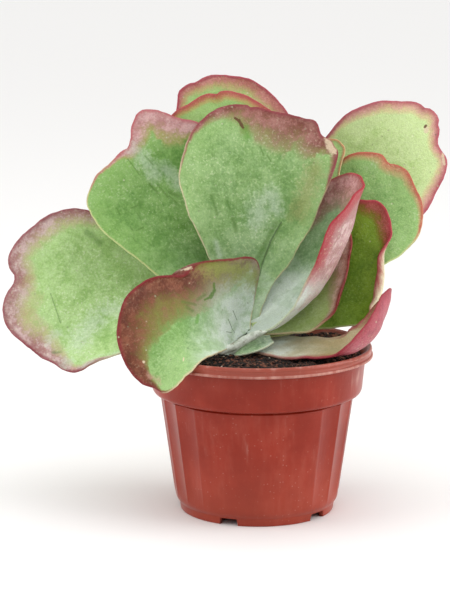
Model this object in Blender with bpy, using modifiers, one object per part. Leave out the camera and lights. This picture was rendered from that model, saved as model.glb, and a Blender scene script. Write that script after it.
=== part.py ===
"""A rosette of paddle-shaped succulent leaves on a short thick stem, in a round plastic nursery pot.

The pot stands on Z = 0 with its axis on the Z axis, and the plant's front faces -Y. Sizes are in
millimetres here and become metres where a mesh is made.
"""

import math

import bmesh
import bpy
import numpy as np

MM = 0.001
MERGE = 0.00005  # merge distance, metres
SAME = 0.1  # points closer than this lie on the same ring of the pot

# The pot's driving dimensions
RIM_RADIUS = 61.0
POT_HEIGHT = 88.0
LIP_HEIGHT = 5.5
LIP_WIDTH = 2.6
COLLAR_RADIUS = 57.2
COLLAR_FOOT_RADIUS = 55.4
STEP_HEIGHT = 63.4
BODY_RADIUS = 51.4
BASE_RADIUS = 43.4
FOOT_RADIUS = 41.8
FOOT_WIDTH = 4.4
FOOT_HEIGHT = 4.6
PAD_RADIUS = 14.0
WALL = 2.4
SOFT = 0.8  # rounding of the pot's edges
FLUTE_DEPTH = 0.8
POT_STEPS = 108
SOIL_STEPS = 36

# Round the pot, in degrees: two plain panels with six scallops between them, and the gaps in its foot
PANELS = 2
PANEL_MIDDLE = -90.0
PANEL_HALF = 40.0
SCALLOP_WIDTH = 50.0 / 3.0
FOOT_GAPS = 5
FOOT_GAP_MIDDLE = -112.0
FOOT_GAP_HALF = 7.0

# Soil and stem
CLEAR = 0.3  # gap between pieces that touch
SOIL_EDGE = 84.0
SOIL_MIDDLE = 86.0
HOLE_DEPTH = 74.0
STEM_ROUTE = [  # across, back, up, radius
    (-15, -7, 75, 6.5),
    (-13, -6, 83, 7),
    (-10, -4, 88, 6.5),
    (-6.5, -2.5, 92, 6.2),
    (-3.6, -1.4, 95.5, 5.6),
    (-2, -0.6, 98.2, 3.8),
]

# Leaves
BASE_THICK = 3.6
BLADE_THICK = 2.6
MARGIN_THICK = 1.4
ROWS = 12
COLUMNS = 10
TIP_SHARE = 0.17  # share of the outline, either side of the tip, that makes the grid's top row
EDGE_STEPS = 14  # points between two outline points

FRESH = "8fae68"
PALE = "a9bd7c"
BLUISH = "86a878"
DUSKY = "9a9466"
ROSY = "b08578"


def colour(code):
    """Linear colour from an sRGB hex value."""
    parts = [int(code[i:i + 2], 16) / 255 for i in (0, 2, 4)]
    linear = [c / 12.92 if c <= 0.04045 else ((c + 0.055) / 1.055) ** 2.4 for c in parts]
    return (*linear, 1.0)


def finish(obj, code, roughness):
    """Give the object its own Principled material."""
    material = bpy.data.materials.new(obj.name + "_finish")
    material.use_nodes = True
    shader = material.node_tree.nodes["Principled BSDF"]
    shader.inputs["Base Color"].default_value = colour(code)
    shader.inputs["Roughness"].default_value = roughness
    shader.inputs["Metallic"].default_value = 0.0
    obj.data.materials.clear()
    obj.data.materials.append(material)


def add(name, data, collection):
    obj = bpy.data.objects.new(name, data)
    collection.objects.link(obj)
    return obj


def smooth(share):
    share = np.clip(share, 0.0, 1.0)
    return share * share * (3.0 - 2.0 * share)


def applied(obj, collection):
    """The object with its modifiers and caps made one plain mesh under the same name."""
    name = obj.name
    evaluated = obj.evaluated_get(bpy.context.evaluated_depsgraph_get())
    mesh = bpy.data.meshes.new_from_object(evaluated)
    matrix = obj.matrix_world.copy()
    bpy.data.objects.remove(obj)
    shape = bmesh.new()
    shape.from_mesh(mesh)
    bmesh.ops.remove_doubles(shape, verts=shape.verts, dist=MERGE)
    shape.to_mesh(mesh)
    shape.free()
    result = add(name, mesh, collection)
    result.matrix_world = matrix
    return result


def turned(name, profile, steps, collection):
    """A solid turned round Z from (radius, height) points that run down its outer side."""
    mesh = bpy.data.meshes.new(name)
    line = bmesh.new()
    points = [line.verts.new((radius * MM, 0.0, height * MM)) for radius, height in profile]
    for upper, lower in zip(points[:-1], points[1:]):
        line.edges.new((upper, lower))
    line.to_mesh(mesh)
    line.free()
    obj = add(name, mesh, collection)
    screw = obj.modifiers.new("turn", "SCREW")
    screw.axis = "Z"
    screw.angle = 2 * math.pi
    screw.steps = steps
    screw.render_steps = steps
    screw.use_merge_vertices = True
    screw.merge_threshold = MERGE
    screw.use_smooth_shade = False
    return obj


def away_from(angle, middle, count):
    """Degrees from an angle to the nearest of count middles, spread evenly round the pot."""
    pitch = 360.0 / count
    return abs((angle - middle + pitch / 2) % pitch - pitch / 2)


def scallop(angle):
    """How deep the scallops are at an angle, from 0 on a plain panel to 1."""
    past = (away_from(angle, PANEL_MIDDLE, PANELS) - PANEL_HALF) / SCALLOP_WIDTH
    return abs(math.sin(math.pi * past)) if past > 0.0 else 0.0


def outer_ring(radius, height, ring_radius, ring_height):
    """Whether a point of the pot lies on the ring of this radius and height."""
    return abs(radius - ring_radius) < SAME and abs(height - ring_height) < SAME


def build_pot(collection):
    """The moulded pot: rolled lip, tapering collar, step, fluted body and broken foot ring."""
    under_lip = POT_HEIGHT - LIP_HEIGHT
    profile = [
        (0.0, FOOT_HEIGHT + WALL),
        (BASE_RADIUS - WALL, FOOT_HEIGHT + WALL),
        (BODY_RADIUS - WALL, STEP_HEIGHT),
        (COLLAR_FOOT_RADIUS - WALL, STEP_HEIGHT + WALL),
        (COLLAR_RADIUS - WALL, under_lip),
        (RIM_RADIUS - LIP_WIDTH, POT_HEIGHT - SOFT),
        (RIM_RADIUS - LIP_WIDTH + SOFT, POT_HEIGHT),
        (RIM_RADIUS - SOFT, POT_HEIGHT),
        (RIM_RADIUS, POT_HEIGHT - SOFT),
        (RIM_RADIUS, under_lip + SOFT),
        (RIM_RADIUS - SOFT, under_lip),
        (COLLAR_RADIUS, under_lip - SOFT),
        (COLLAR_FOOT_RADIUS, STEP_HEIGHT + 3 * SOFT),
        (COLLAR_FOOT_RADIUS - 2 * SOFT, STEP_HEIGHT),
        (BODY_RADIUS, STEP_HEIGHT),
        (BASE_RADIUS, FOOT_HEIGHT + SOFT),
        (FOOT_RADIUS, FOOT_HEIGHT - SOFT),
        (FOOT_RADIUS - SOFT, 0.0),
        (FOOT_RADIUS - FOOT_WIDTH, 0.0),
        (FOOT_RADIUS - FOOT_WIDTH, FOOT_HEIGHT - SOFT),
        (PAD_RADIUS + SOFT, FOOT_HEIGHT - SOFT),
        (PAD_RADIUS, 0.0),
        (0.0, 0.0),
    ]
    pot = applied(turned("pot", profile, POT_STEPS, collection), collection)
    for vertex in pot.data.vertices:
        x, y, z = vertex.co / MM
        radius = math.hypot(x, y)
        angle = math.degrees(math.atan2(y, x))
        on_body = outer_ring(radius, z, BODY_RADIUS, STEP_HEIGHT)
        on_base = outer_ring(radius, z, BASE_RADIUS, FOOT_HEIGHT + SOFT)
        if on_body or on_base:
            shrink = 1.0 - FLUTE_DEPTH * scallop(angle) / radius
            vertex.co.x *= shrink
            vertex.co.y *= shrink
        on_foot = radius > PAD_RADIUS + SOFT and z < SAME
        if on_foot and away_from(angle, FOOT_GAP_MIDDLE, FOOT_GAPS) < FOOT_GAP_HALF:
            vertex.co.z = (FOOT_HEIGHT - 1.5 * SOFT) * MM
    finish(pot, "9c3a2c", 0.42)
    return pot


def stem_curve(name, collection, grow, bottom):
    """The leaning stem as a round bar; grow widens it and bottom is where it starts."""
    curve = bpy.data.curves.new(name, "CURVE")
    curve.dimensions = "3D"
    curve.bevel_depth = MM
    curve.bevel_resolution = 6
    curve.use_fill_caps = True
    curve.twist_mode = "Z_UP"
    spline = curve.splines.new("POLY")
    spline.points.add(len(STEM_ROUTE) - 1)
    for point, (x, y, z, radius) in zip(spline.points, STEM_ROUTE):
        point.co = (x * MM, y * MM, z * MM, 1.0)
        point.radius = radius + grow
    first = spline.points[0]
    first.co = (first.co[0], first.co[1], bottom * MM, 1.0)
    return applied(add(name, curve, collection), collection)


def build_stem(collection):
    stem = stem_curve("stem", collection, 0.0, STEM_ROUTE[0][2])
    finish(stem, "b3b8a2", 0.7)
    return stem


def build_soil(collection, cutters):
    """The peat plug that fills the pot, with a plain hole that the stem stands in."""
    under_lip = POT_HEIGHT - LIP_HEIGHT
    inside = WALL + CLEAR
    profile = [
        (0.0, SOIL_MIDDLE),
        (0.5 * RIM_RADIUS, SOIL_MIDDLE - 0.35 * (SOIL_MIDDLE - SOIL_EDGE)),
        (COLLAR_RADIUS - inside, SOIL_EDGE),
        (COLLAR_RADIUS - inside, under_lip),
        (COLLAR_FOOT_RADIUS - inside, STEP_HEIGHT + inside),
        (BODY_RADIUS - inside, STEP_HEIGHT),
        (BASE_RADIUS - inside, FOOT_HEIGHT + inside),
        (0.0, FOOT_HEIGHT + inside),
    ]
    soil = applied(turned("soil", profile, SOIL_STEPS, collection), collection)
    hole = stem_curve("stem_hole", cutters, CLEAR, HOLE_DEPTH)
    hole.hide_render = True
    hole.display_type = "WIRE"
    cut = soil.modifiers.new("stem hole", "BOOLEAN")
    cut.operation = "DIFFERENCE"
    cut.object = hole
    finish(soil, "3a2820", 0.95)
    return soil


class Rib:
    """A leaf's midrib: a cubic curve in space, read by its length and carried on straight past it."""

    def __init__(self, points):
        self.points = np.asarray(points, float)
        self.share = np.linspace(0.0, 1.0, 201)
        line = self.curve(self.share)
        steps = np.linalg.norm(np.diff(line, axis=0), axis=1)
        self.along = np.concatenate([[0.0], np.cumsum(steps)])
        self.length = self.along[-1]

    def curve(self, t):
        a, b, c, d = self.points
        t = t[:, None]
        s = 1.0 - t
        return s ** 3 * a + 3 * t * s * s * b + 3 * t * t * s * c + t ** 3 * d

    def heading(self, t):
        a, b, c, d = self.points
        t = t[:, None]
        s = 1.0 - t
        run = s * s * (b - a) + 2 * s * t * (c - b) + t * t * (d - c)
        return run / np.linalg.norm(run, axis=1)[:, None]

    def at(self, along):
        inside = np.clip(along, 0.0, self.length)
        t = np.interp(inside, self.along, self.share)
        heading = self.heading(t)
        return self.curve(t) + heading * (along - inside)[:, None], heading


def rounded(points):
    """A smooth line through the outline's points (a centripetal Catmull-Rom curve)."""
    p = np.asarray(points, float)
    p = np.concatenate([[2 * p[0] - p[1]], p, [2 * p[-1] - p[-2]]])
    line = []
    for a, b, c, d in zip(p[:-3], p[1:-2], p[2:-1], p[3:]):
        knots = [0.0]
        for start, end in ((a, b), (b, c), (c, d)):
            knots.append(knots[-1] + np.linalg.norm(end - start) ** 0.5)
        k0, k1, k2, k3 = knots
        t = np.linspace(k1, k2, EDGE_STEPS, endpoint=False)[:, None]
        ab = (k1 - t) / (k1 - k0) * a + (t - k0) / (k1 - k0) * b
        bc = (k2 - t) / (k2 - k1) * b + (t - k1) / (k2 - k1) * c
        cd = (k3 - t) / (k3 - k2) * c + (t - k2) / (k3 - k2) * d
        abc = (k2 - t) / (k2 - k0) * ab + (t - k0) / (k2 - k0) * bc
        bcd = (k3 - t) / (k3 - k1) * bc + (t - k1) / (k3 - k1) * cd
        line.append((k2 - t) / (k2 - k1) * abc + (t - k1) / (k2 - k1) * bcd)
    line.append(p[-2:-1])
    return np.concatenate(line)


def along_line(line, shares):
    """Points at shares of a line's length."""
    steps = np.linalg.norm(np.diff(line, axis=0), axis=1)
    run = np.concatenate([[0.0], np.cumsum(steps)])
    at = shares * run[-1]
    return np.stack([np.interp(at, run, line[:, 0]), np.interp(at, run, line[:, 1])], 1)


def fill_outline(edge, u, v):
    """Flat (across, along) points inside the outline for u from base to tip and v from left to right."""
    line = rounded(edge)
    low, high = 0.5 - TIP_SHARE, 0.5 + TIP_SHARE
    left = along_line(line, u * low)
    right = along_line(line, 1.0 - u * (1.0 - high))
    top = along_line(line, low + v * (high - low))
    first, last = line[0], line[-1]
    u, v = u[:, None], v[:, None]
    bottom = (1 - v) * first + v * last
    corner_left, corner_right = along_line(line, np.array([low, high]))
    flat = (1 - v) * left + v * right + (1 - u) * bottom + u * top
    flat -= (1 - u) * (1 - v) * first + (1 - u) * v * last
    flat -= u * (1 - v) * corner_left + u * v * corner_right
    return flat


def bent(across, half, bend, power):
    """A section that leaves the rib flat and has turned by bend at half: its reach and its rise."""
    parts = 12
    share = (np.arange(parts) + 0.5) / parts
    reach = np.abs(across)[:, None] / half[:, None] * share
    turn = bend[:, None] * reach ** power
    return across * np.cos(turn).mean(1), np.abs(across) * np.sin(turn).mean(1)


def shape_leaf(flat, rib, faces, half, cup_left, cup_right, power):
    """Points in space for flat (across, along) points: the blade follows its rib and cups round it."""
    across, along = flat[:, 0], flat[:, 1]
    share = along / rib.length
    middle, heading = rib.at(along)
    faces = np.asarray(faces, float)
    place = np.clip(share, 0.0, 1.0) * (len(faces) - 1)
    step = np.minimum(place.astype(int), len(faces) - 2)
    hint = faces[step] + (faces[step + 1] - faces[step]) * smooth(place - step)[:, None]
    hint /= np.linalg.norm(hint, axis=1)[:, None]
    normal = hint - (hint * heading).sum(1)[:, None] * heading
    normal /= np.linalg.norm(normal, axis=1)[:, None]
    side = np.cross(heading, normal)
    ease = smooth(share)
    on_left = across < 0
    bend_left = cup_left[0] + (cup_left[1] - cup_left[0]) * ease
    bend_right = cup_right[0] + (cup_right[1] - cup_right[0]) * ease
    bend = np.radians(np.where(on_left, bend_left, bend_right))
    width = np.where(on_left, half[0], half[1]).astype(float)
    reach, rise = bent(across, width, bend, power)
    return middle + side * reach[:, None] + normal * rise[:, None]


def leaf(name, collection, rib, faces, half, cup_left, cup_right, edge, code,
         power=1.0, base_thick=BASE_THICK, blade_thick=BLADE_THICK):
    """One fleshy leaf: a grid shaped as the upper and under faces' middle, then given its thickness.

    rib is the midrib's four control points, faces the way that the upper face looks from base to
    tip, half the left and right half widths that the cup angles are given for, cup_left and
    cup_right the angles in degrees at base and tip, and edge the flattened leaf's outline as
    (across, along) points from the base's left end round the tip.
    """
    blade = bmesh.new()
    bmesh.ops.create_grid(blade, x_segments=COLUMNS, y_segments=ROWS, size=1.0)
    blade.verts.ensure_lookup_table()
    v = np.array([(vertex.co.x + 1) / 2 for vertex in blade.verts])
    u = np.array([(vertex.co.y + 1) / 2 for vertex in blade.verts])
    points = shape_leaf(fill_outline(edge, u, v), Rib(rib), faces, half, cup_left, cup_right, power)
    for vertex, point in zip(blade.verts, points):
        vertex.co = point * MM
    bmesh.ops.triangulate(blade, faces=blade.faces, quad_method="FIXED")
    mesh = bpy.data.meshes.new(name)
    blade.to_mesh(mesh)
    blade.free()
    obj = add(name, mesh, collection)
    body = base_thick + (blade_thick - base_thick) * smooth(u / 0.5)
    rim = np.maximum(np.abs(2 * v - 1) ** 3, smooth((u - 0.55) / 0.45) ** 2)
    thick = body + (MARGIN_THICK - body) * rim
    group = obj.vertex_groups.new(name="thickness")
    for index, weight in enumerate(thick / base_thick):
        group.add([index], float(weight), "REPLACE")
    shell = obj.modifiers.new("flesh", "SOLIDIFY")
    shell.thickness = base_thick * MM
    shell.offset = 0.0
    shell.vertex_group = group.name
    finish(obj, code, 0.55)
    return obj


def build_leaves(collection):
    """The rosette, from the front leaves to the rear ones."""
    leaf("leaf_front_left", collection,
         rib=[(-12.5, -13, 91.5), (-23, -22, 110), (-45, -34, 127), (-73, -46, 115)],
         faces=[(0.3, -0.6, 0.75), (0.4, -0.85, 0.3), (0.35, -0.9, 0.25)],
         half=(40, 45), cup_left=(75, 10), cup_right=(70, 20), code=DUSKY,
         edge=[(-9, 0), (-18, 11), (-26, 19), (-34, 27), (-42, 37), (-49, 53), (-48, 69), (-42, 81),
               (-33, 85), (-22, 86), (-10, 82), (1, 74), (7, 66), (11, 57), (15, 46), (23, 37),
               (33, 26), (40, 19), (38, 14), (26, 5), (10, 0)])
    leaf("leaf_young", collection,
         rib=[(7, -15.5, 93.4), (1, -18, 92), (-5, -20, 90), (-11, -21, 88)],
         faces=[(0.2, -0.5, 0.9), (0.3, -0.6, 0.8)],
         half=(5, 5), cup_left=(50, 50), cup_right=(50, 50), code=BLUISH,
         base_thick=2.4, blade_thick=2.0,
         edge=[(-4, 0), (-5, 8), (-5, 14), (-1, 21), (3, 16), (4, 8), (4, 0)])
    leaf("leaf_low_right", collection,
         rib=[(-3, -8.8, 88.4), (21, -22, 88.6), (63, -42, 81), (72, -8, 117)],
         faces=[(0, -0.2, 1), (-0.1, -0.2, 1), (-0.8, 0.1, 0.5)],
         half=(24, 24), cup_left=(20, 80), cup_right=(0, 140), code=ROSY,
         edge=[(-5, 0), (-12, 10), (-15, 26), (-12, 45), (-14, 63), (-15, 80), (-12, 90), (-4, 96),
               (6, 95), (14, 88), (22, 74), (23, 62), (18, 53), (12, 46), (11, 36), (11, 24), (5, 0)])
    leaf("leaf_centre", collection,
         rib=[(-4, 1, 100.2), (-5, 8, 118), (-1, 14, 168), (2, 28, 210)],
         faces=[(0.1, -0.8, 0.6), (0.12, -1, 0.15)],
         half=(40, 42), cup_left=(40, 12), cup_right=(40, 20), code=FRESH,
         edge=[(-6, 0), (-14, 16), (-25, 36), (-38, 57), (-42, 74), (-39, 91), (-28, 107), (-12, 114),
               (5, 112), (21, 110), (30, 108), (33, 101), (38, 98), (42, 94), (42, 85), (37, 70),
               (32, 54), (22, 34), (11, 18), (5, 0)])
    leaf("leaf_folded", collection,
         rib=[(3, -5, 102), (28, -2.7, 107.3), (44, 1.5, 131), (55, 1, 176)],
         faces=[(-0.6, -0.3, 0.8), (-0.85, -0.1, 0.5)],
         half=(36, 34), cup_left=(70, 50), cup_right=(90, 60), code=ROSY,
         edge=[(-7, 0), (-14, 12), (-26, 30), (-34, 55), (-36, 74), (-31, 87), (-21, 94), (-6, 97),
               (8, 98), (18, 94), (26, 84), (33, 70), (33, 58), (30, 40), (26, 23), (19, 11), (9, 0)])
    leaf("leaf_narrow", collection,
         rib=[(3, -3.2, 98), (25, 1.9, 98.8), (40, 8.2, 111), (48, 11, 143)],
         faces=[(-0.5, -0.6, 0.7), (-0.7, -0.7, 0.3)],
         half=(22, 24), cup_left=(40, 30), cup_right=(30, 40), code=DUSKY,
         edge=[(-4, 0), (-11, 18), (-16, 38), (-14, 56), (-7, 70), (0, 74), (4, 70), (6, 60), (9, 50),
               (12, 41), (17, 33), (19, 26), (17, 18), (10, 10), (4, 0)])
    leaf("leaf_green", collection,
         rib=[(2, -1, 94.3), (29, 9, 97.4), (53, 17.6, 114), (58, 20.5, 161)],
         faces=[(-0.3, -0.5, 0.9), (-0.2, -0.95, 0.25), (-0.2, -0.95, 0.1)],
         half=(30, 30), cup_left=(25, 20), cup_right=(40, 100), power=2.5, code=FRESH,
         edge=[(-4, 0), (-9, 20), (-17, 45), (-20, 70), (-16, 88), (-8, 98), (0, 99), (5, 98), (10, 94),
               (14, 86), (18, 75), (22, 61), (23, 53), (24, 45), (22, 38), (12, 27), (5, 0)])
    leaf("leaf_right", collection,
         rib=[(2, 4, 92.2), (17, 31.3, 97.7), (55, 42, 141), (83, 48, 171)],
         faces=[(-0.3, -0.4, 0.9), (-0.3, -0.7, 0.6), (-0.1, -1, 0.25)],
         half=(31, 31), cup_left=(25, 8), cup_right=(25, 8), code=BLUISH,
         edge=[(-4, 0), (-11, 28), (-28, 60), (-34, 84), (-34, 103), (-32, 112), (-25, 120), (-20, 123),
               (-14, 124), (-4, 126), (8, 122), (18, 116), (26, 104), (28, 88), (25, 74), (12, 35),
               (4, 0)])
    leaf("leaf_upper_right", collection,
         rib=[(-3.4, 3.6, 88), (13, 42, 90), (53, 56, 141), (101, 70, 189)],
         faces=[(-0.3, -0.4, 0.9), (-0.3, -0.6, 0.7), (-0.1, -1, 0.25)],
         half=(40, 40), cup_left=(25, 8), cup_right=(25, 8), code=PALE,
         edge=[(-4, 0), (-14, 38), (-37, 80), (-47, 108), (-48, 126), (-47, 141), (-40, 156),
               (-30, 166), (-21, 173), (-11, 175), (-3, 170), (2, 163), (12, 160), (16, 153),
               (22, 134), (26, 108), (24, 78), (9, 38), (4, 0)])
    leaf("leaf_inner", collection,
         rib=[(-6, 5.6, 93), (3, 30, 105), (21, 39, 153), (31, 53, 187)],
         faces=[(-0.2, -0.7, 0.7), (-0.1, -1, 0.2)],
         half=(18, 18), cup_left=(20, 8), cup_right=(20, 8), code=FRESH,
         edge=[(-4, 0), (-8, 28), (-13, 60), (-15, 85), (-11, 107), (-3, 117), (5, 119), (12, 120),
               (17, 116), (18, 108), (18, 80), (13, 50), (6, 22), (4, 0)])
    leaf("leaf_back", collection,
         rib=[(-5, 4, 97), (-9, 22, 115), (-15, 36, 163), (-17, 48, 216)],
         faces=[(0, -0.7, 0.7), (0, -1, 0.2)],
         half=(40, 40), cup_left=(25, 8), cup_right=(25, 8), code=PALE,
         edge=[(-5, 0), (-9, 22), (-29, 55), (-38, 85), (-36, 105), (-29, 118), (-19, 124), (-11, 128),
               (0, 130), (8, 128), (18, 123), (30, 110), (36, 90), (30, 58), (12, 25), (5, 0)])
    leaf("leaf_back_tall", collection,
         rib=[(-13, 3.5, 89), (-15, 42, 99), (-9, 62, 163), (-15, 77, 225)],
         faces=[(0, -0.5, 0.85), (0, -1, 0.2)],
         half=(42, 42), cup_left=(25, 8), cup_right=(25, 8), code=PALE,
         edge=[(-4, 0), (-9, 35), (-26, 75), (-34, 110), (-34, 130), (-30, 144), (-28, 152),
               (-22, 156), (-16, 158), (-8, 160), (4, 158), (14, 154), (24, 145), (32, 134),
               (38, 112), (34, 77), (12, 38), (4, 0)])
    leaf("leaf_upper_left", collection,
         rib=[(-13, 0.5, 97), (-29, 8, 115), (-49, 18, 153), (-68, 32, 195)],
         faces=[(0.3, -0.7, 0.7), (0.1, -1, 0.25)],
         half=(38, 38), cup_left=(30, 10), cup_right=(30, 10), code=FRESH,
         edge=[(-5, 0), (-11, 20), (-24, 47), (-32, 65), (-37, 80), (-36, 92), (-27, 102), (-11, 109),
               (-1, 114), (3, 121), (10, 127), (17, 125), (27, 116), (37, 107), (39, 88), (32, 60),
               (11, 24), (4, 0)])
    leaf("leaf_left", collection,
         rib=[(-17.2, -5, 91), (-49, 6, 98.8), (-89, 14, 105), (-133, 16, 113)],
         faces=[(0.2, -0.5, 0.8), (0.0, -1, 0.4)],
         half=(42, 42), cup_left=(20, 8), cup_right=(20, 8), code=PALE,
         edge=[(-5, 0), (-12, 28), (-26, 50), (-32, 63), (-39, 73), (-36, 86), (-31, 96), (-22, 112),
               (-13, 120), (0, 120), (6, 118), (16, 123), (24, 122), (36, 115), (48, 102), (52, 88),
               (44, 60), (18, 30), (5, 0)])
    leaf("leaf_rear_left", collection,
         rib=[(-21, -0.5, 87.8), (-41, 24, 91), (-55, 48, 101), (-77, 64, 121)],
         faces=[(0.2, -0.3, 0.9), (0.3, -0.5, 0.8)],
         half=(32, 32), cup_left=(25, 10), cup_right=(25, 10), code=FRESH,
         edge=[(-5, 0), (-12, 22), (-26, 50), (-33, 72), (-29, 92), (-16, 106), (0, 111), (15, 107),
               (28, 94), (33, 74), (26, 50), (12, 24), (5, 0)])


def main():
    for obj in list(bpy.data.objects):
        bpy.data.objects.remove(obj)
    parts = bpy.data.collections.new("potted_paddle_plant")
    cutters = bpy.data.collections.new("cutters")
    bpy.context.scene.collection.children.link(parts)
    bpy.context.scene.collection.children.link(cutters)
    build_pot(parts)
    build_soil(parts, cutters)
    build_stem(parts)
    build_leaves(parts)


main()
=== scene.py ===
"""The looks of a paddle-leaved rosette succulent in a terracotta-coloured plastic nursery pot.

Each leaf is rebuilt finely over its plain solid from the same midrib, facing and outline, in
millimetres, and gets a fleshy skin with a blushed margin and a powdery bloom. The pot, the peat and
the stem are rebuilt finely too. Every mesh is in metres, with the pot standing on Z = 0.
"""

import math

import bmesh
import bpy
import numpy as np
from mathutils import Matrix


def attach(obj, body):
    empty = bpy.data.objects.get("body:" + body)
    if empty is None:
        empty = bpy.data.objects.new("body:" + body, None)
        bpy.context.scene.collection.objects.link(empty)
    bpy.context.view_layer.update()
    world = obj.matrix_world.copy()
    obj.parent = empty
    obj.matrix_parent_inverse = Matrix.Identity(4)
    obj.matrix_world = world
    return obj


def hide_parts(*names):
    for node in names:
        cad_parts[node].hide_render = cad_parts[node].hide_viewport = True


MM = 0.001

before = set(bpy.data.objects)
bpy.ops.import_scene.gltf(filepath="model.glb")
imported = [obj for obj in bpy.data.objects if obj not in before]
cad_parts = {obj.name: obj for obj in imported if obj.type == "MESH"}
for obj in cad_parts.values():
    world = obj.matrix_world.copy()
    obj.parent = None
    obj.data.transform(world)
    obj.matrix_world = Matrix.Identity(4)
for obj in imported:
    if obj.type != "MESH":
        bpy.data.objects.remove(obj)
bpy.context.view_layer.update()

# Camera, matched to the ellipses of the pot's rim and step
CAMERA_PLACE = (-17.0, -1100.0, 319.8)
CAMERA_DOWN = 10.72  # degrees
CAMERA_LENS, CAMERA_SENSOR = 127.92, 36.0  # mm
LAMP_AIM = 0.12  # metres above the floor that the soft boxes point at

# The pot
RIM_RADIUS = 61.0
POT_HEIGHT = 88.0
LIP_HEIGHT = 5.5
LIP_WIDTH = 2.6
COLLAR_RADIUS = 57.2
COLLAR_FOOT_RADIUS = 55.4
STEP_HEIGHT = 63.4
BODY_RADIUS = 51.4
BASE_RADIUS = 43.4
FOOT_RADIUS = 41.8
FOOT_WIDTH = 4.4
FOOT_HEIGHT = 4.6
PAD_RADIUS = 14.0
WALL = 2.4
FLUTE_DEPTH = 1.3
PANELS, PANEL_MIDDLE, PANEL_HALF, SCALLOP_WIDTH = 2, -90.0, 40.0, 50.0 / 3.0  # degrees
FOOT_GAPS, FOOT_GAP_MIDDLE, FOOT_GAP_HALF = 5, -112.0, 7.0  # degrees
POT_STEPS = 432  # points round the pot
PROFILE_STEP = 3.0  # longest straight stretch of its profile
# How strongly the lip's outer beads and its top are painted with a highlight
LIP_BEAD_HIGHLIGHT, LIP_TOP_HIGHLIGHT = 0.68, 0.35
SCUFFS = [  # middle and half width in degrees, low and high, how hard it has been rubbed
    (-24.0, 11.0, 66.0, 84.0, 0.8),
    (-97.0, 1.6, 30.0, 52.0, 0.3),
]

# The soil and the stem
SOIL_MIDDLE, SOIL_EDGE, SOIL_RADIUS, SOIL_DEPTH = 86.0, 84.0, 54.4, 9.0
SOIL_SUNK = 0.5  # how far the fine surface lies below the plain solid's
SOIL_RINGS, SOIL_STEPS = 110, 220
HEAP_MIDDLE, HEAP_WIDTH, HEAP_HEIGHT = (38.0, 22.0), (15.0, 13.0), 5.0  # at the right
TUBE_SIDES = 64
TUBE_EASE = 13  # steps over which the corners of a tube's route are eased
TUBE_END = 4.0  # length over which a tube's end is rounded
STEM_RING = 4.2  # from one ring of the stem to the next
STEM_ROUTE = [  # across, back, up, radius
    (-15, -7, 75, 6.5),
    (-13, -6, 83, 7),
    (-10, -4, 88, 6.5),
    (-6.5, -2.5, 92, 6.2),
    (-3.6, -1.4, 95.5, 5.6),
    (-2, -0.6, 98.2, 3.8),
]
COLLAR_ROUTE = [  # the swelling in front of the stem, where the leaf bases have grown together
    (-23, -27.5, 89, 1.2),
    (-17, -23, 89.6, 2.1),
    (-10.5, -20, 91.7, 2.4),
    (-4, -19, 95.6, 2.3),
    (0.5, -20, 97.7, 1.9),
    (5, -21, 99, 1.2),
]

# The leaves
LEAF_ROWS, LEAF_COLUMNS = 84, 68
BASE_THICK, BLADE_THICK = 3.6, 2.6
RIM_ROUND = 0.7  # radius of the margin's rounding
SWELL = 22.0  # how far from the margin the blade reaches its full thickness
TIP_SHARE = 0.17  # share of the outline, either side of the tip, that makes the grid's top row
CROWDING = 0.75  # how strongly the grid's rows and columns crowd towards the margin
RIB_SAMPLES = 201
EDGE_STEPS = 14  # points from one of an outline's own to the next
EDGE_SAMPLES = 700  # points that a whole outline is read at
EDGE_EASE = 18.0  # how far from an outline's ends its unevenness is full
PLACES = 12.0  # places round an outline, from the base's left end round the tip to its right end
CURL_EASE = 0.7  # places over which a curl of the margin begins and ends
HEEL_BELOW = 8.0  # how far below the start of a leaf its heel is moved in full
WAVES_FROM = 25.0  # how far up a leaf its waves have their full height
FLAT_SPAN = 100.0  # millimetres of a flattened leaf to one unit of its UV

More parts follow.
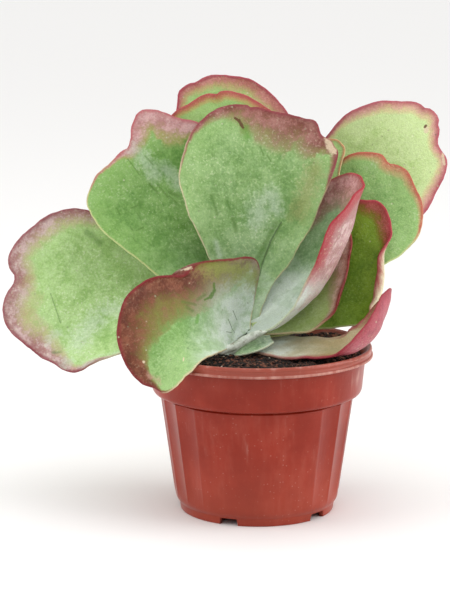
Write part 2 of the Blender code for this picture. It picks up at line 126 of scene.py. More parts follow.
# Each leaf: its midrib's control points, the way its upper face looks from base to tip, the half
# widths and cup angles (at base and tip) of its cross-section, left and right, and its flattened
# outline as (across, along) points. power is how late the section bends, and thick is how thick the
# leaf is at its base and in its blade. heel moves the base across, back and up, and its last number
# is how far up the leaf that reaches.
LEAVES = {
    "front_left": dict(
        rib=[(-12.5, -13, 91.5), (-23, -22, 110), (-45, -34, 127), (-73, -46, 115)],
        faces=[(0.3, -0.6, 0.75), (0.4, -0.85, 0.3), (0.35, -0.9, 0.25)],
        half=(40, 45), cup_left=(75, 10), cup_right=(70, 20),
        heel=(0, -8, 1.6, 4),
        edge=[(-4, 1), (-9, 4), (-18, 11), (-26, 19), (-34, 27), (-42, 37), (-49, 53), (-48, 69),
              (-42, 81), (-33, 85), (-22, 86), (-10, 82), (1, 74), (7, 66), (11, 57), (15, 46),
              (23, 37), (33, 26), (40, 19), (38, 14), (27, 5), (18, -2), (14.5, -6)]),
    "young": dict(
        rib=[(7, -15.5, 93.4), (1, -18, 92), (-5, -20, 90), (-11, -21, 88)],
        faces=[(0.2, -0.5, 0.9), (0.3, -0.6, 0.8)],
        half=(5, 7), cup_left=(20, 20), cup_right=(60, 60), power=0.4, thick=(2.4, 1.8),
        edge=[(-3, 0), (-5, 6), (-5, 13), (-1, 21), (1.5, 17), (4.5, 9), (3, 0)]),
    "low_right": dict(
        rib=[(-3, -8.8, 88.4), (21, -22, 88.6), (63, -42, 81), (68, -8, 116.5)],
        faces=[(0, -0.2, 1), (-0.1, -0.2, 1), (-0.8, 0.1, 0.5)],
        half=(24, 24), cup_left=(20, 80), cup_right=(0, 140),
        edge=[(-8, -6), (-12, 2), (-15, 12), (-15, 26), (-12, 45), (-14, 63), (-15, 80), (-12, 90),
              (-4, 96), (5, 95), (11, 88), (18, 74), (20, 62), (17, 53), (12, 46), (11, 36),
              (11, 24), (7, 4), (5, -6)]),
    "centre": dict(
        rib=[(-4, 1, 100.2), (-5, 8, 118), (-1, 14, 168), (2, 28, 210)],
        faces=[(0.1, -0.8, 0.6), (0.12, -1, 0.15)],
        half=(40, 42), cup_left=(40, 12), cup_right=(40, 20),
        edge=[(-6, -6), (-8, 4), (-14, 16), (-25, 36), (-38, 57), (-42, 74), (-39, 91), (-28, 107),
              (-12, 114), (5, 112), (21, 110), (30, 108), (33, 101), (38, 98), (42, 94), (42, 85),
              (37, 70), (32, 54), (22, 34), (11, 17), (6, 4), (5, -6)]),
    "folded": dict(
        rib=[(3, -5, 102), (28, -2.7, 107.3), (44, 1.5, 131), (55, 1, 176)],
        faces=[(-0.6, -0.3, 0.8), (-0.85, -0.1, 0.5)],
        half=(36, 34), cup_left=(70, 50), cup_right=(90, 60), heel=(0, -1, -4.2, 34),
        edge=[(-9, -9), (-18, 2), (-27, 16), (-33, 34), (-35, 55), (-36, 74), (-31, 87), (-21, 94),
              (-13, 95.5), (-5, 95), (3, 93.5), (10, 92), (16, 90), (21, 87), (27, 80), (33, 70),
              (33, 58), (30, 40), (26, 23), (19, 11), (13, 1), (10, -9)]),
    "narrow": dict(
        rib=[(3, -3.2, 98), (25, 1.9, 98.8), (40, 8.2, 111), (48, 11, 143)],
        faces=[(-0.5, -0.6, 0.7), (-0.7, -0.7, 0.3)],
        half=(22, 24), cup_left=(40, 30), cup_right=(30, 40),
        edge=[(-3, -6), (-4.5, 4), (-11, 18), (-16, 38), (-14, 56), (-7, 70), (0, 74), (4, 70),
              (6, 60), (9, 50), (12, 41), (17, 33), (19, 26), (15.5, 18), (9.5, 10), (7, 2),
              (5, -6)]),
    "green": dict(
        rib=[(2, -1, 94.3), (29, 9, 97.4), (53, 17.6, 114), (58, 20.5, 161)],
        faces=[(-0.3, -0.5, 0.9), (-0.2, -0.95, 0.25), (-0.2, -0.95, 0.1)],
        half=(30, 30), cup_left=(25, 20), cup_right=(40, 100), power=2.5,
        edge=[(-4, 0), (-9, 20), (-17, 45), (-20, 70), (-16, 88), (-8, 98), (0, 99), (6, 99),
              (12, 95), (15.5, 87), (20.5, 76), (27.5, 64), (32, 54), (31, 45), (22, 40.5),
              (11, 28), (5, 0)]),
    "right": dict(
        rib=[(2, 4, 92.2), (17, 31.3, 97.7), (55, 42, 141), (83, 48, 171)],
        faces=[(-0.3, -0.4, 0.9), (-0.3, -0.7, 0.6), (-0.1, -1, 0.25)],
        half=(31, 31), cup_left=(25, 8), cup_right=(25, 8),
        edge=[(-4, 0), (-11, 28), (-28, 60), (-34, 84), (-34, 103), (-32, 112), (-25, 120),
              (-20, 123), (-14, 124), (-4, 126), (8, 122), (18, 116), (26, 104), (28, 88), (25, 74),
              (12, 35), (4, 0)]),
    "upper_right": dict(
        rib=[(-3.4, 3.6, 88), (13, 42, 90), (53, 56, 141), (101, 70, 189)],
        faces=[(-0.3, -0.4, 0.9), (-0.3, -0.6, 0.7), (-0.1, -1, 0.25)],
        half=(40, 40), cup_left=(25, 8), cup_right=(25, 8),
        edge=[(-4, 0), (-14, 38), (-37, 80), (-47, 108), (-48, 126), (-47, 141), (-40, 156),
              (-30, 166), (-21, 173), (-11, 175), (-3, 170), (2, 163), (12, 160), (16, 153),
              (22, 134), (26, 108), (24, 78), (9, 38), (4, 0)]),
    "inner": dict(
        rib=[(-6, 5.6, 93), (3, 30, 105), (21, 39, 153), (31, 53, 187)],
        faces=[(-0.2, -0.7, 0.7), (-0.1, -1, 0.2)],
        half=(18, 18), cup_left=(20, 8), cup_right=(20, 8),
        edge=[(-4, 0), (-8, 28), (-13, 60), (-15, 85), (-11, 107), (-3, 117), (5, 119), (12, 120),
              (17, 116), (18, 108), (18, 80), (13, 50), (6, 22), (4, 0)]),
    "back": dict(
        rib=[(-5, 4, 97), (-9, 22, 115), (-15, 36, 163), (-17, 48, 216)],
        faces=[(0, -0.7, 0.7), (0, -1, 0.2)],
        half=(40, 40), cup_left=(25, 8), cup_right=(25, 8),
        edge=[(-5, 0), (-9, 22), (-29, 55), (-38, 85), (-36, 105), (-29, 118), (-19, 124),
              (-11, 128), (0, 130), (8, 128), (18, 123), (30, 110), (36, 90), (30, 58), (12, 25),
              (5, 0)]),
    "back_tall": dict(
        rib=[(-13, 3.5, 89), (-15, 42, 99), (-9, 62, 163), (-15, 77, 225)],
        faces=[(0, -0.5, 0.85), (0, -1, 0.2)],
        half=(42, 42), cup_left=(25, 8), cup_right=(25, 8),
        edge=[(-4, 0), (-9, 35), (-26, 75), (-34, 110), (-34, 130), (-30, 144), (-28, 152),
              (-22, 156), (-16, 158), (-8, 160), (4, 158), (14, 154), (24, 145), (32, 134),
              (38, 112), (34, 77), (12, 38), (4, 0)]),
    "upper_left": dict(
        rib=[(-13, 0.5, 97), (-29, 8, 115), (-49, 18, 153), (-68, 32, 195)],
        faces=[(0.3, -0.7, 0.7), (0.1, -1, 0.25)],
        half=(38, 38), cup_left=(30, 10), cup_right=(30, 10),
        edge=[(-5, 0), (-11, 20), (-24, 47), (-32, 65), (-37, 80), (-36, 92), (-27, 102),
              (-11, 109), (-1, 114), (3, 121), (10, 127), (17, 125), (27, 116), (37, 107), (39, 88),
              (32, 60), (11, 24), (4, 0)]),
    "left": dict(
        rib=[(-17.2, -5, 91), (-49, 6, 98.8), (-89, 14, 105), (-133, 16, 113)],
        faces=[(0.2, -0.5, 0.8), (0.0, -1, 0.4)],
        half=(42, 42), cup_left=(20, 8), cup_right=(20, 8),
        edge=[(-5, 0), (-12, 28), (-26, 50), (-32, 63), (-39, 73), (-36, 86), (-31, 96), (-22, 112),
              (-13, 120), (0, 120), (6, 118), (16, 123), (24, 122), (36, 115), (48, 102), (52, 88),
              (44, 60), (18, 30), (5, 0)]),
    "rear_left": dict(
        rib=[(-21, -0.5, 87.8), (-41, 24, 91), (-55, 48, 101), (-77, 64, 121)],
        faces=[(0.2, -0.3, 0.9), (0.3, -0.5, 0.8)],
        half=(32, 32), cup_left=(25, 10), cup_right=(25, 10),
        edge=[(-5, 0), (-12, 22), (-26, 50), (-33, 72), (-29, 92), (-16, 106), (0, 111), (15, 107),
              (28, 94), (33, 74), (26, 50), (12, 24), (5, 0)]),
}

# Each leaf's skin. deep and light are its green. olive, blush, blush_light and edge are its blushed
# band from the inside out, rim is the line on a green margin, and the under tones are its under
# face. band is how wide the blush is in millimetres, at 13 places round the outline, and turn is
# where in the band, from its inner side, red begins and is full. bloom is how much powder lies at
# the base and on the blade, and flecks is how thick its specks are. blotch is the noise at which
# the under face's patches begin and are full, and hem is the same for its red hem, as millimetres
# from the margin plus about 4.5 mm of noise. nicks are (place, half length, depth), and curls are
# (first and last place, width, degrees). marks are strokes from one flat (across, along) place to
# another, with a half width.
SKIN = dict(deep="6f9450", light="a9c77f", olive="8d8a4c", blush="a9705f", blush_light="c9968a",
            edge="a04a48", rim="c9cf9f", under="9fb58a", under_light="c5cfae", under_blush="b98a83",
            band=(0, 0, 0, 1, 4, 7, 9, 7, 4, 1, 0, 0, 0), bloom=(0.5, 0.07), flecks=0.5, nicks=(),
            turn=(0.3, 0.8), blotch=(1.18, 1.42), hem=(8.5, 5.0), curls=(), marks={})
LOOKS = {
    "front_left": dict(
        deep="6f9a4c", light="98bd74", olive="7c6a28", blush="5f241a", blush_light="884c37",
        edge="7e2226", rim="d9c9a0", under="93ad84", under_light="b9c9a6", under_blush="a97a70",
        band=(0, 0, 0, 0, 2, 15, 30, 37, 36, 26, 15, 2, 0), bloom=(1.2, 0.03), flecks=0.3,
        turn=(0.34, 0.8), nicks=((8.6, 4, 1.2),), curls=((7.2, 10.0, 3, 50),),
        marks=dict(
            scratch=((16, 28, 13, 26, 1.0), (13, 26, 9, 26.5, 1.5), (9, 26.5, 6, 29, 0.8)),
            rubbed=((0, 41, 1, 33, 1.3), (-2, 38, -3, 34, 1.6), (8, 30, 4, 33, 1.4)),
            fresh=((-8, 30, -4, 30, 1.6),),
            scar=((-35, 40, -33, 39, 0.7), (-30, 76, -30, 75, 1.0), (17, 45, 19, 41, 0.9)),
            haze=((-42, 66, -38, 76, 4),),
            # dark crease lines, partly painted shade in folds the blade's shape does not make
            shaded_crease=((6, 11, 4, 6, 0.35), (4, 6, 4, 3, 0.3), (12, 11, 10.5, 6, 0.35),
                    (-1, 9, 2, 5, 0.25), (13.5, -5, 14, -5.4, 0.7)),
            sallow=((22, 33, 33, 14, 12),))),
    "young": dict(
        deep="40683a", light="93b480", rim="d5dfc2", under="64875a", under_light="9ab391",
        band=(0,) * 13, bloom=(0.6, 0.12), flecks=0.9),
    "low_right": dict(
        deep="a39a70", light="bfac80", olive="a88256", blush="9c6a4c", blush_light="b59070",
        edge="9c3440", rim="b9a488", under="922e3d", under_light="ae505d", under_blush="862a3c",
        band=(0, 0, 0, 1, 3, 12, 16, 14, 12, 8, 4, 2, 0), bloom=(1.1, 0.1), flecks=0.5,
        marks=dict(
            flush=((-9, 24, -9, 50, 6), (6, 46, 8, 60, 6)))),
    "centre": dict(
        # its greens and blush are painted darker, partly standing for the shade it lies in among
        # its neighbours
        deep="648e44", light="8db265", olive="8a7c44", blush="7a3a33", blush_light="a0665f",
        edge="88323a", rim="d3c3a0", band=(0, 0, 0, 0, 2, 7, 21, 30, 5, 0, 0, 0, 0),
        bloom=(0.5, 0.1), flecks=0.6, nicks=((7.8, 3, 1.0), (5.75, 2, 1.0)),
        curls=((5.2, 7.6, 3, 35),),
        marks=dict(
            dead=((-13.5, 106, -11.5, 105, 0.8), (-11.5, 105, -9, 101.5, 1.2)),
            fresh=((-8, 101, -6, 97, 4),),
            scar=((37, 98, 40, 93, 3.4),),
            chalk=((3, 61, 3, 54, 13), (8, 67, 11, 60, 9), (-20, 40, -16, 30, 3)),
            rubbed=((15, 52, 7, 34, 1.2), (7, 34, 3, 24, 0.9), (12, 52, 4, 34, 2.6),
                    (-11, 53, -9, 47, 1.8), (1, 92, 3, 88, 0.9), (5, 88, 7, 85, 0.7),
                    (-24, 64, -20, 55, 1.6), (-15, 62, -13, 58, 1.2)),
            flush=((31, 82, 24, 58, 9),),
            # dark crease lines, partly painted shade in folds the blade's shape does not make
            shaded_crease=((15, 53, 10, 43, 0.5), (10, 43, 6, 30, 0.6), (6, 30, 5, 24, 0.4)))),
    "folded": dict(
        deep="6b9058", light="8fb07a", olive="96705c", blush="a05c5e", blush_light="c78e8e",
        edge="a32633", rim="c8d2b0", under="ae7c7d", under_light="cba8a7", under_blush="852c28",
        band=(0, 0, 1, 6, 16, 26, 30, 20, 8, 6, 2, 0, 0), bloom=(2.0, 0.1), flecks=0.5,
        blotch=(1.0, 1.2), hem=(13.0, 7.5),
        marks=dict(
            chalk=((-10, 34, -10, 20, 11), (-4, 16, -4, 8, 12)))),
    "narrow": dict(
        # its colours are painted lighter, standing for light that its shaded place among the leaves
        # does not get
        deep="93af54", light="b8cd7e", olive="b5a878", blush="c39282", blush_light="e6cabc",
        edge="8a2c2a", rim="d9c7a0", under="8fa468", under_light="b7c190", under_blush="96604e",
        band=(0, 0, 1, 3, 12, 22, 24, 18, 12, 5, 1, 0, 0), bloom=(0.3, 0.1), flecks=0.4),
    "green": dict(
        deep="557a17", light="7a9a2c", olive="7f6c24", blush="8e3a34", blush_light="a85852",
        edge="a83a44", rim="c3c98c", under="bdb58c", under_light="d6cfae", under_blush="b98074",
        band=(0, 0, 0, 0, 3, 8, 11, 9, 5, 2, 0, 0, 0), bloom=(0.05, 0.0), flecks=0.12,
        curls=((6.9, 9.3, 8, 150),)),
    "right": dict(
        deep="6c9c50", light="96be6e", olive="b0a868", blush="b8795a", blush_light="c9996f",
        edge="b4503f", rim="c2cf8f", band=(0, 0, 0, 0, 2, 5, 8, 4, 1, 0, 0, 0, 0),
        bloom=(0.45, 0.06), flecks=0.6, nicks=((5.7, 4, 1.6),),
        marks=dict(
            rubbed=((9, 109, 9, 107, 1),))),
    "upper_right": dict(
        deep="a6c672", light="cbe09a", olive="d2c68c", blush="bc7470", blush_light="d29a90",
        edge="ab4556", rim="cf9a92", band=(0, 0, 0, 1, 4, 8, 8, 6, 8, 4, 0, 0, 0),
        bloom=(0.3, 0.08), flecks=0.25, nicks=((5.9, 3, 1.2), (6.35, 2, 1.0)),
        marks=dict(
            scar=((-9, 165, -8, 164, 1.8), (1, 167, 5, 163, 1.1), (7, 161, 12, 157, 1.0)),
            dead=((-10, 166, -10, 165, 0.9),))),
    "inner": dict(
        deep="7ba052", light="9ec070", blush="b08a5a", blush_light="c0a070", edge="b5703c",
        band=(0, 0, 0, 0, 1, 2, 3, 2, 1, 0, 0, 0, 0), bloom=(0.3, 0.1)),
    "back": dict(
        deep="7fae55", light="a3c873", olive="b6a85a", blush="b25e48", blush_light="c47c60",
        edge="ac3f44", rim="c98a72", band=(0, 0, 0, 1, 3, 5, 6, 6, 3, 1, 0, 0, 0),
        bloom=(0.3, 0.06), flecks=0.2, nicks=((5.9, 3, 1.5),)),
    "back_tall": dict(
        deep="86b05c", light="aacb7c", olive="bda56a", blush="b0625c", blush_light="c58078",
        edge="a33a4a", rim="c98c84", band=(0, 0, 0, 1, 4, 7, 11, 10, 6, 1, 0, 0, 0),
        bloom=(0.3, 0.08), flecks=0.4, nicks=((5.45, 2.5, 1.2),), curls=((4.2, 7.2, 2.5, 40),)),
    "upper_left": dict(
        deep="5c8c36", light="80ab52", olive="a09450", blush="b47c7e", blush_light="cda0a0",
        edge="b0565c", rim="c9d08e", band=(0, 0, 0, 0, 1, 3, 17, 20, 7, 0, 0, 0, 0),
        bloom=(0.35, 0.07), flecks=0.45, nicks=((5.35, 3, 1.2),),
        marks=dict(
            rubbed=((-6, 105, -4, 95, 0.6), (3, 103, 5, 97, 0.8), (-1, 88, 1, 82, 1.3),
                    (3, 86, 5, 78, 1.0), (7, 80, 10, 76, 1.8), (6, 78, 8, 73, 0.8),
                    (-23, 83, -23, 79, 0.8), (-16, 80, -12, 80, 0.7), (-14, 76, -14, 72, 0.8),
                    (-21, 71, -21, 69, 0.9), (-19, 68, -15, 68, 0.7), (-23, 65, -23, 63, 0.7)),
            chalk=((0, 108, 4, 92, 8), (10, 92, 14, 82, 7)))),
    "left": dict(
        deep="88b25a", light="b2d486", olive="b6ae7c", blush="a06c6c", blush_light="cbaeac",
        edge="8c4048", rim="c9c8a4", band=(0, 0, 0, 5, 18, 19, 13, 14, 12, 7, 4, 1, 0),
        bloom=(0.3, 0.1), flecks=0.9, nicks=((5.9, 3, 1.0),), curls=((3.0, 5.2, 2, 30),),
        marks=dict(
            chalk=((-35, 68, -27, 50, 6), (-36, 80, -33, 78, 5), (-23, 92, -18, 88, 5),
                   (-20, 76, -6, 70, 11), (0, 66, 4, 56, 9)),
            rubbed=((-29, 88, -28, 84, 1.5), (3, 97, -12, 88, 0.6), (36, 78, 40, 85, 3)),
            haze=((-37, 75, -37, 73, 1.5),),
            scar=((8, 122, 10, 121, 1.2),),
            flush=((5, 112, 9, 110, 5), (-10, 106, 0, 104, 7)))),
    "rear_left": dict(),
}
# What each kind of mark is drawn in: its colour, how well it covers, and how soft its edge is
MARKS = {
    "flush": ("a08a58", 0.35, 1.0),
    "haze": ("c9a08c", 0.55, 1.1),
    "chalk": ("c9d6c4", 0.42, 1.1),
    "rubbed": ("4b7326", 0.5, 0.9),
    "scratch": ("4c7422", 0.8, 0.6),
    "fresh": ("5a9430", 0.65, 0.9),
    # Crease lines: their own dark colour, and painted shade in the folds
    "shaded_crease": ("4f6440", 0.7, 0.4),
    "sallow": ("8f9c48", 0.75, 1.1),
    "scar": ("dcc9aa", 0.85, 0.6),
    "dead": ("5f3a26", 0.9, 0.5),
}

# Settings that many nodes share
EASED = dict(interpolation_type="SMOOTHSTEP")
TINT = dict(data_type="RGBA")
TIMES = dict(operation="MULTIPLY")
TIMES_PLUS = dict(operation="MULTIPLY_ADD")


def colour(code):
    """Linear colour from an sRGB hex value."""
    parts = [int(code[i:i + 2], 16) / 255 for i in (0, 2, 4)]
    linear = [c / 12.92 if c <= 0.04045 else ((c + 0.055) / 1.055) ** 2.4 for c in parts]
    return (*linear, 1.0)


def add(tree, kind, inputs=(), **settings):
    """Add a node with its settings; each input gets a value or is linked from a socket."""
    made = tree.nodes.new(kind)
    for name, value in settings.items():
        setattr(made, name, value)
    for key, value in dict(inputs).items():
        if isinstance(value, bpy.types.NodeSocket):
            tree.links.new(value, made.inputs[key])
        else:
            made.inputs[key].default_value = value
    return made


def new_material(name):
    """A new material, its node tree and its shader."""
    material = bpy.data.materials.new(name)
    material.use_nodes = True
    tree = material.node_tree
    shader = tree.nodes["Principled BSDF"]
    return material, tree, shader


def smooth(share):
    """Ease from 0 to 1 as the share goes from 0 to 1."""
    share = np.clip(share, 0.0, 1.0)
    return share * share * (3.0 - 2.0 * share)


def ripple(points, wavelength, seed, waves=7):
    """Smooth noise from -1 to 1 at points: a sum of seeded sine waves of about this wavelength."""
    draw = np.random.default_rng(seed)
    total = np.zeros(len(points))
    for _ in range(waves):
        way = draw.normal(size=points.shape[1])
        way *= 2 * math.pi / (wavelength * draw.uniform(0.7, 1.5) * np.linalg.norm(way))
        total += np.sin(points @ way + draw.uniform(0, 2 * math.pi))
    return total / math.sqrt(waves)


def new_object(name, data):
    """An object with this data, linked to the scene."""
    obj = bpy.data.objects.new(name, data)
    bpy.context.scene.collection.objects.link(obj)
    return obj


def ring_faces(index, first, last):
    """The faces of a grid of rings, closed round, with a fan to a middle point at either end."""
    after = np.roll(index, -1, axis=1)
    faces = list(zip(index[:-1].ravel(), index[1:].ravel(), after[1:].ravel(), after[:-1].ravel()))
    faces += [(first, i, j) for i, j in zip(index[0], after[0])]
    return faces + [(last, j, i) for i, j in zip(index[-1], after[-1])]


def make_object(name, points, faces, attributes=(), flat=None):
    """A smooth-shaded mesh in metres from millimetre points, with point attributes and a UV."""
    mesh = bpy.data.meshes.new(name)
    mesh.from_pydata((np.asarray(points) * MM).tolist(), [], [tuple(face) for face in faces])
    mesh.shade_smooth()
    for key, values in dict(attributes).items():
        layer = mesh.attributes.new(key, "FLOAT", "POINT")
        layer.data.foreach_set("value", np.asarray(values, np.float32))
    if flat is not None:
        corner = np.zeros(len(mesh.loops), np.int32)
        mesh.loops.foreach_get("vertex_index", corner)
        layer = mesh.uv_layers.new(name="flat")
        spread = (np.asarray(flat)[corner] / FLAT_SPAN).astype(np.float32)
        layer.data.foreach_set("uv", spread.ravel())
    mesh.validate()
    return new_object(name, mesh)


def dress(obj, material, slot, *nodes):
    """Give the piece its material, set it riding on the root, and hide the parts it stands in for.
    """
    obj.data.materials.clear()
    obj.data.materials.append(material)
    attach(obj, "root")
    if nodes:
        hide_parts(*nodes)
    return obj


# Leaves


class Rib:
    """A leaf's midrib: a cubic curve in space, read by its length, carried on straight past it."""

    def __init__(self, points):
        self.points = np.asarray(points, float)
        self.share = np.linspace(0.0, 1.0, RIB_SAMPLES)
        line = self.curve(self.share)
        steps = np.linalg.norm(np.diff(line, axis=0), axis=1)
        self.along = np.concatenate([[0.0], np.cumsum(steps)])
        self.length = self.along[-1]

    def curve(self, t):
        a, b, c, d = self.points
        t = t[:, None]
        s = 1.0 - t
        return s ** 3 * a + 3 * t * s * s * b + 3 * t * t * s * c + t ** 3 * d

    def heading(self, t):
        a, b, c, d = self.points
        t = t[:, None]
        s = 1.0 - t
        run = s * s * (b - a) + 2 * s * t * (c - b) + t * t * (d - c)
        return run / np.linalg.norm(run, axis=1)[:, None]

    def at(self, along):
        inside = np.clip(along, 0.0, self.length)
        t = np.interp(inside, self.along, self.share)
        heading = self.heading(t)
        return self.curve(t) + heading * (along - inside)[:, None], heading


def rounded(points):
    """A smooth line through the outline's points (a centripetal Catmull-Rom curve)."""
    p = np.asarray(points, float)
    p = np.concatenate([[2 * p[0] - p[1]], p, [2 * p[-1] - p[-2]]])
    line = []
    for a, b, c, d in zip(p[:-3], p[1:-2], p[2:-1], p[3:]):
        knots = [0.0]
        for start, end in ((a, b), (b, c), (c, d)):
            knots.append(knots[-1] + np.linalg.norm(end - start) ** 0.5)
        k0, k1, k2, k3 = knots
        t = np.linspace(k1, k2, EDGE_STEPS, endpoint=False)[:, None]
        ab = (k1 - t) / (k1 - k0) * a + (t - k0) / (k1 - k0) * b
        bc = (k2 - t) / (k2 - k1) * b + (t - k1) / (k2 - k1) * c
        cd = (k3 - t) / (k3 - k2) * c + (t - k2) / (k3 - k2) * d
        abc = (k2 - t) / (k2 - k0) * ab + (t - k0) / (k2 - k0) * bc
        bcd = (k3 - t) / (k3 - k1) * bc + (t - k1) / (k3 - k1) * cd
        line.append((k2 - t) / (k2 - k1) * abc + (t - k1) / (k2 - k1) * bcd)
    line.append(p[-2:-1])
    return np.concatenate(line)


def run_of(line):
    """The length along a line at each of its points."""
    steps = np.linalg.norm(np.diff(line, axis=0), axis=1)
    return np.concatenate([[0.0], np.cumsum(steps)])


def along_line(line, shares):
    """Points at shares of a line's length."""
    run = run_of(line)
    at = shares * run[-1]
    return np.stack([np.interp(at, run, line[:, 0]), np.interp(at, run, line[:, 1])], 1)


def nicked(line, nicks, seed):
    """The outline with the small unevenness of a grown margin, and its nicks."""
    line = along_line(line, np.linspace(0.0, 1.0, EDGE_SAMPLES))
    run = run_of(line)
    ends = smooth(np.minimum(run, run[-1] - run) / EDGE_EASE)
    push = 0.2 * ripple(run[:, None], 19.0, seed) + 0.08 * ripple(run[:, None], 6.0, seed + 1)
    for place, half, depth in nicks:
        push -= depth * np.exp(-((run - run[-1] * place / PLACES) / half) ** 2 * 2.0)
    return line + outward_of(line) * (push * ends)[:, None]


def fill_outline(line, u, v):
    """Flat points inside the outline, for u from base to tip and v from left to right."""
    low, high = 0.5 - TIP_SHARE, 0.5 + TIP_SHARE
    left = along_line(line, u * low)
    right = along_line(line, 1.0 - u * (1.0 - high))
    top = along_line(line, low + v * (high - low))
    first, last = line[0], line[-1]
    u, v = u[:, None], v[:, None]
    bottom = (1 - v) * first + v * last
    corner_left, corner_right = along_line(line, np.array([low, high]))
    flat = (1 - v) * left + v * right + (1 - u) * bottom + u * top
    flat -= (1 - u) * (1 - v) * first + (1 - u) * v * last
    flat -= u * (1 - v) * corner_left + u * v * corner_right
    return flat


def bent(across, half, bend, power):
    """A section that leaves the rib flat and has turned by bend at half: its reach and its rise."""
    parts = 12
    share = (np.arange(parts) + 0.5) / parts
    reach = np.abs(across)[:, None] / half[:, None] * share
    turn = bend[:, None] * reach ** power
    return across * np.cos(turn).mean(1), np.abs(across) * np.sin(turn).mean(1)


def shape_leaf(flat, rib, faces, half, cup_left, cup_right, power):
    """Flat (across, along) points in space: the blade follows its rib and cups round it."""
    across, along = flat[:, 0], flat[:, 1]
    share = along / rib.length
    middle, heading = rib.at(along)
    faces = np.asarray(faces, float)
    place = np.clip(share, 0.0, 1.0) * (len(faces) - 1)
    step = np.minimum(place.astype(int), len(faces) - 2)
    hint = faces[step] + (faces[step + 1] - faces[step]) * smooth(place - step)[:, None]
    hint /= np.linalg.norm(hint, axis=1)[:, None]
    normal = hint - (hint * heading).sum(1)[:, None] * heading
    normal /= np.linalg.norm(normal, axis=1)[:, None]
    side = np.cross(heading, normal)
    ease = smooth(share)
    on_left = across < 0
    bend_left = cup_left[0] + (cup_left[1] - cup_left[0]) * ease
    bend_right = cup_right[0] + (cup_right[1] - cup_right[0]) * ease
    bend = np.radians(np.where(on_left, bend_left, bend_right))
    width = np.where(on_left, half[0], half[1]).astype(float)
    reach, rise = bent(across, width, bend, power)
    return middle + side * reach[:, None] + normal * rise[:, None]


def settled(flat, form):
    """The blade in space, with its base drawn down to the stem by the leaf's heel."""
    rib = Rib(form["rib"])
    points = shape_leaf(flat, rib, form["faces"], form["half"], form["cup_left"], form["cup_right"],
                        form.get("power", 1.0))
    *shift, reach = form.get("heel", (0, 0, 0, 0))
    drawn = smooth((reach - flat[:, 1]) / (reach + HEEL_BELOW))
    return points + drawn[:, None] * np.array(shift, float)


def outward_of(line):
    """The unit way out of the outline at each of its points."""
    way = np.gradient(line, axis=0)
    way /= np.linalg.norm(way, axis=1)[:, None] + 1e-9
    return np.stack([-way[:, 1], way[:, 0]], 1)


def nearest_on(line, points):
    """Each point's distance to the line, the share of it that is nearest, and the way out there."""
    fine = along_line(line, np.linspace(0.0, 1.0, EDGE_SAMPLES))
    gap = np.linalg.norm(points[:, None, :] - fine[None, :, :], axis=2)
    index = gap.argmin(1)
    window = 15  # steps of the line that the way out is averaged over
    even = np.ones(window) / window
    way = np.stack([np.convolve(np.pad(part, window // 2, mode="edge"), even, mode="valid")
                    for part in outward_of(fine).T], 1)
    way /= np.linalg.norm(way, axis=1)[:, None]
    return gap[np.arange(len(points)), index], index / (len(fine) - 1), way[index]


def rolled(points, normal, outward, margin, place, curls):
    """Roll stretches of the margin: curls are (first and last place, width, degrees)."""
    place = place * PLACES
    for first, last, width, degrees in curls:
        ends = smooth((place - first) / CURL_EASE) * smooth((last - place) / CURL_EASE)
        past = np.clip(width - margin, 0.0, None)
        turn = math.radians(degrees) * ends * past / width
        even = np.where(turn == 0, 1.0, turn)
        forth = np.where(turn == 0, past, past * np.sin(turn) / even)
        up = np.where(turn == 0, 0.0, past * (1 - np.cos(turn)) / even)
        points = points + outward * (forth - past)[:, None] + normal * up[:, None]
        normal = normal * np.cos(turn)[:, None] - outward * np.sin(turn)[:, None]
    return points, normal


def facing(flat, form, step=0.2):
    """The upward normals of the blade at flat places."""
    across = settled(flat + (step, 0.0), form) - settled(flat - (step, 0.0), form)
    along = settled(flat + (0.0, step), form) - settled(flat - (0.0, step), form)
    normal = np.cross(across, along)
    return normal / np.linalg.norm(normal, axis=1)[:, None]


def two_faced(rows, columns, border):
    """The faces of an upper and a lower grid that share their border, and which points they use."""
    index = np.arange((rows + 1) * (columns + 1)).reshape(rows + 1, columns + 1)
    below = index + index.size
    shared = border.reshape(index.shape)
    below[shared] = index[shared]
    (a, b, c, d), (e, f, g, h) = (
        (grid[:-1, :-1].ravel(), grid[:-1, 1:].ravel(), grid[1:, 1:].ravel(), grid[1:, :-1].ravel())
        for grid in (index, below))
    faces = list(zip(a, b, c, d)) + list(zip(e, h, g, f))
    faces += list(zip(index[0, :-1], below[0, :-1], below[0, 1:], index[0, 1:]))
    faces = [[p for i, p in enumerate(face) if p != face[i - 1]] for face in faces]
    used = np.zeros(2 * index.size, bool)
    used[np.unique(np.concatenate([index.ravel(), below.ravel()]))] = True
    renumber = np.cumsum(used) - 1
    return [[int(renumber[p]) for p in face] for face in faces if len(set(face)) > 2], used


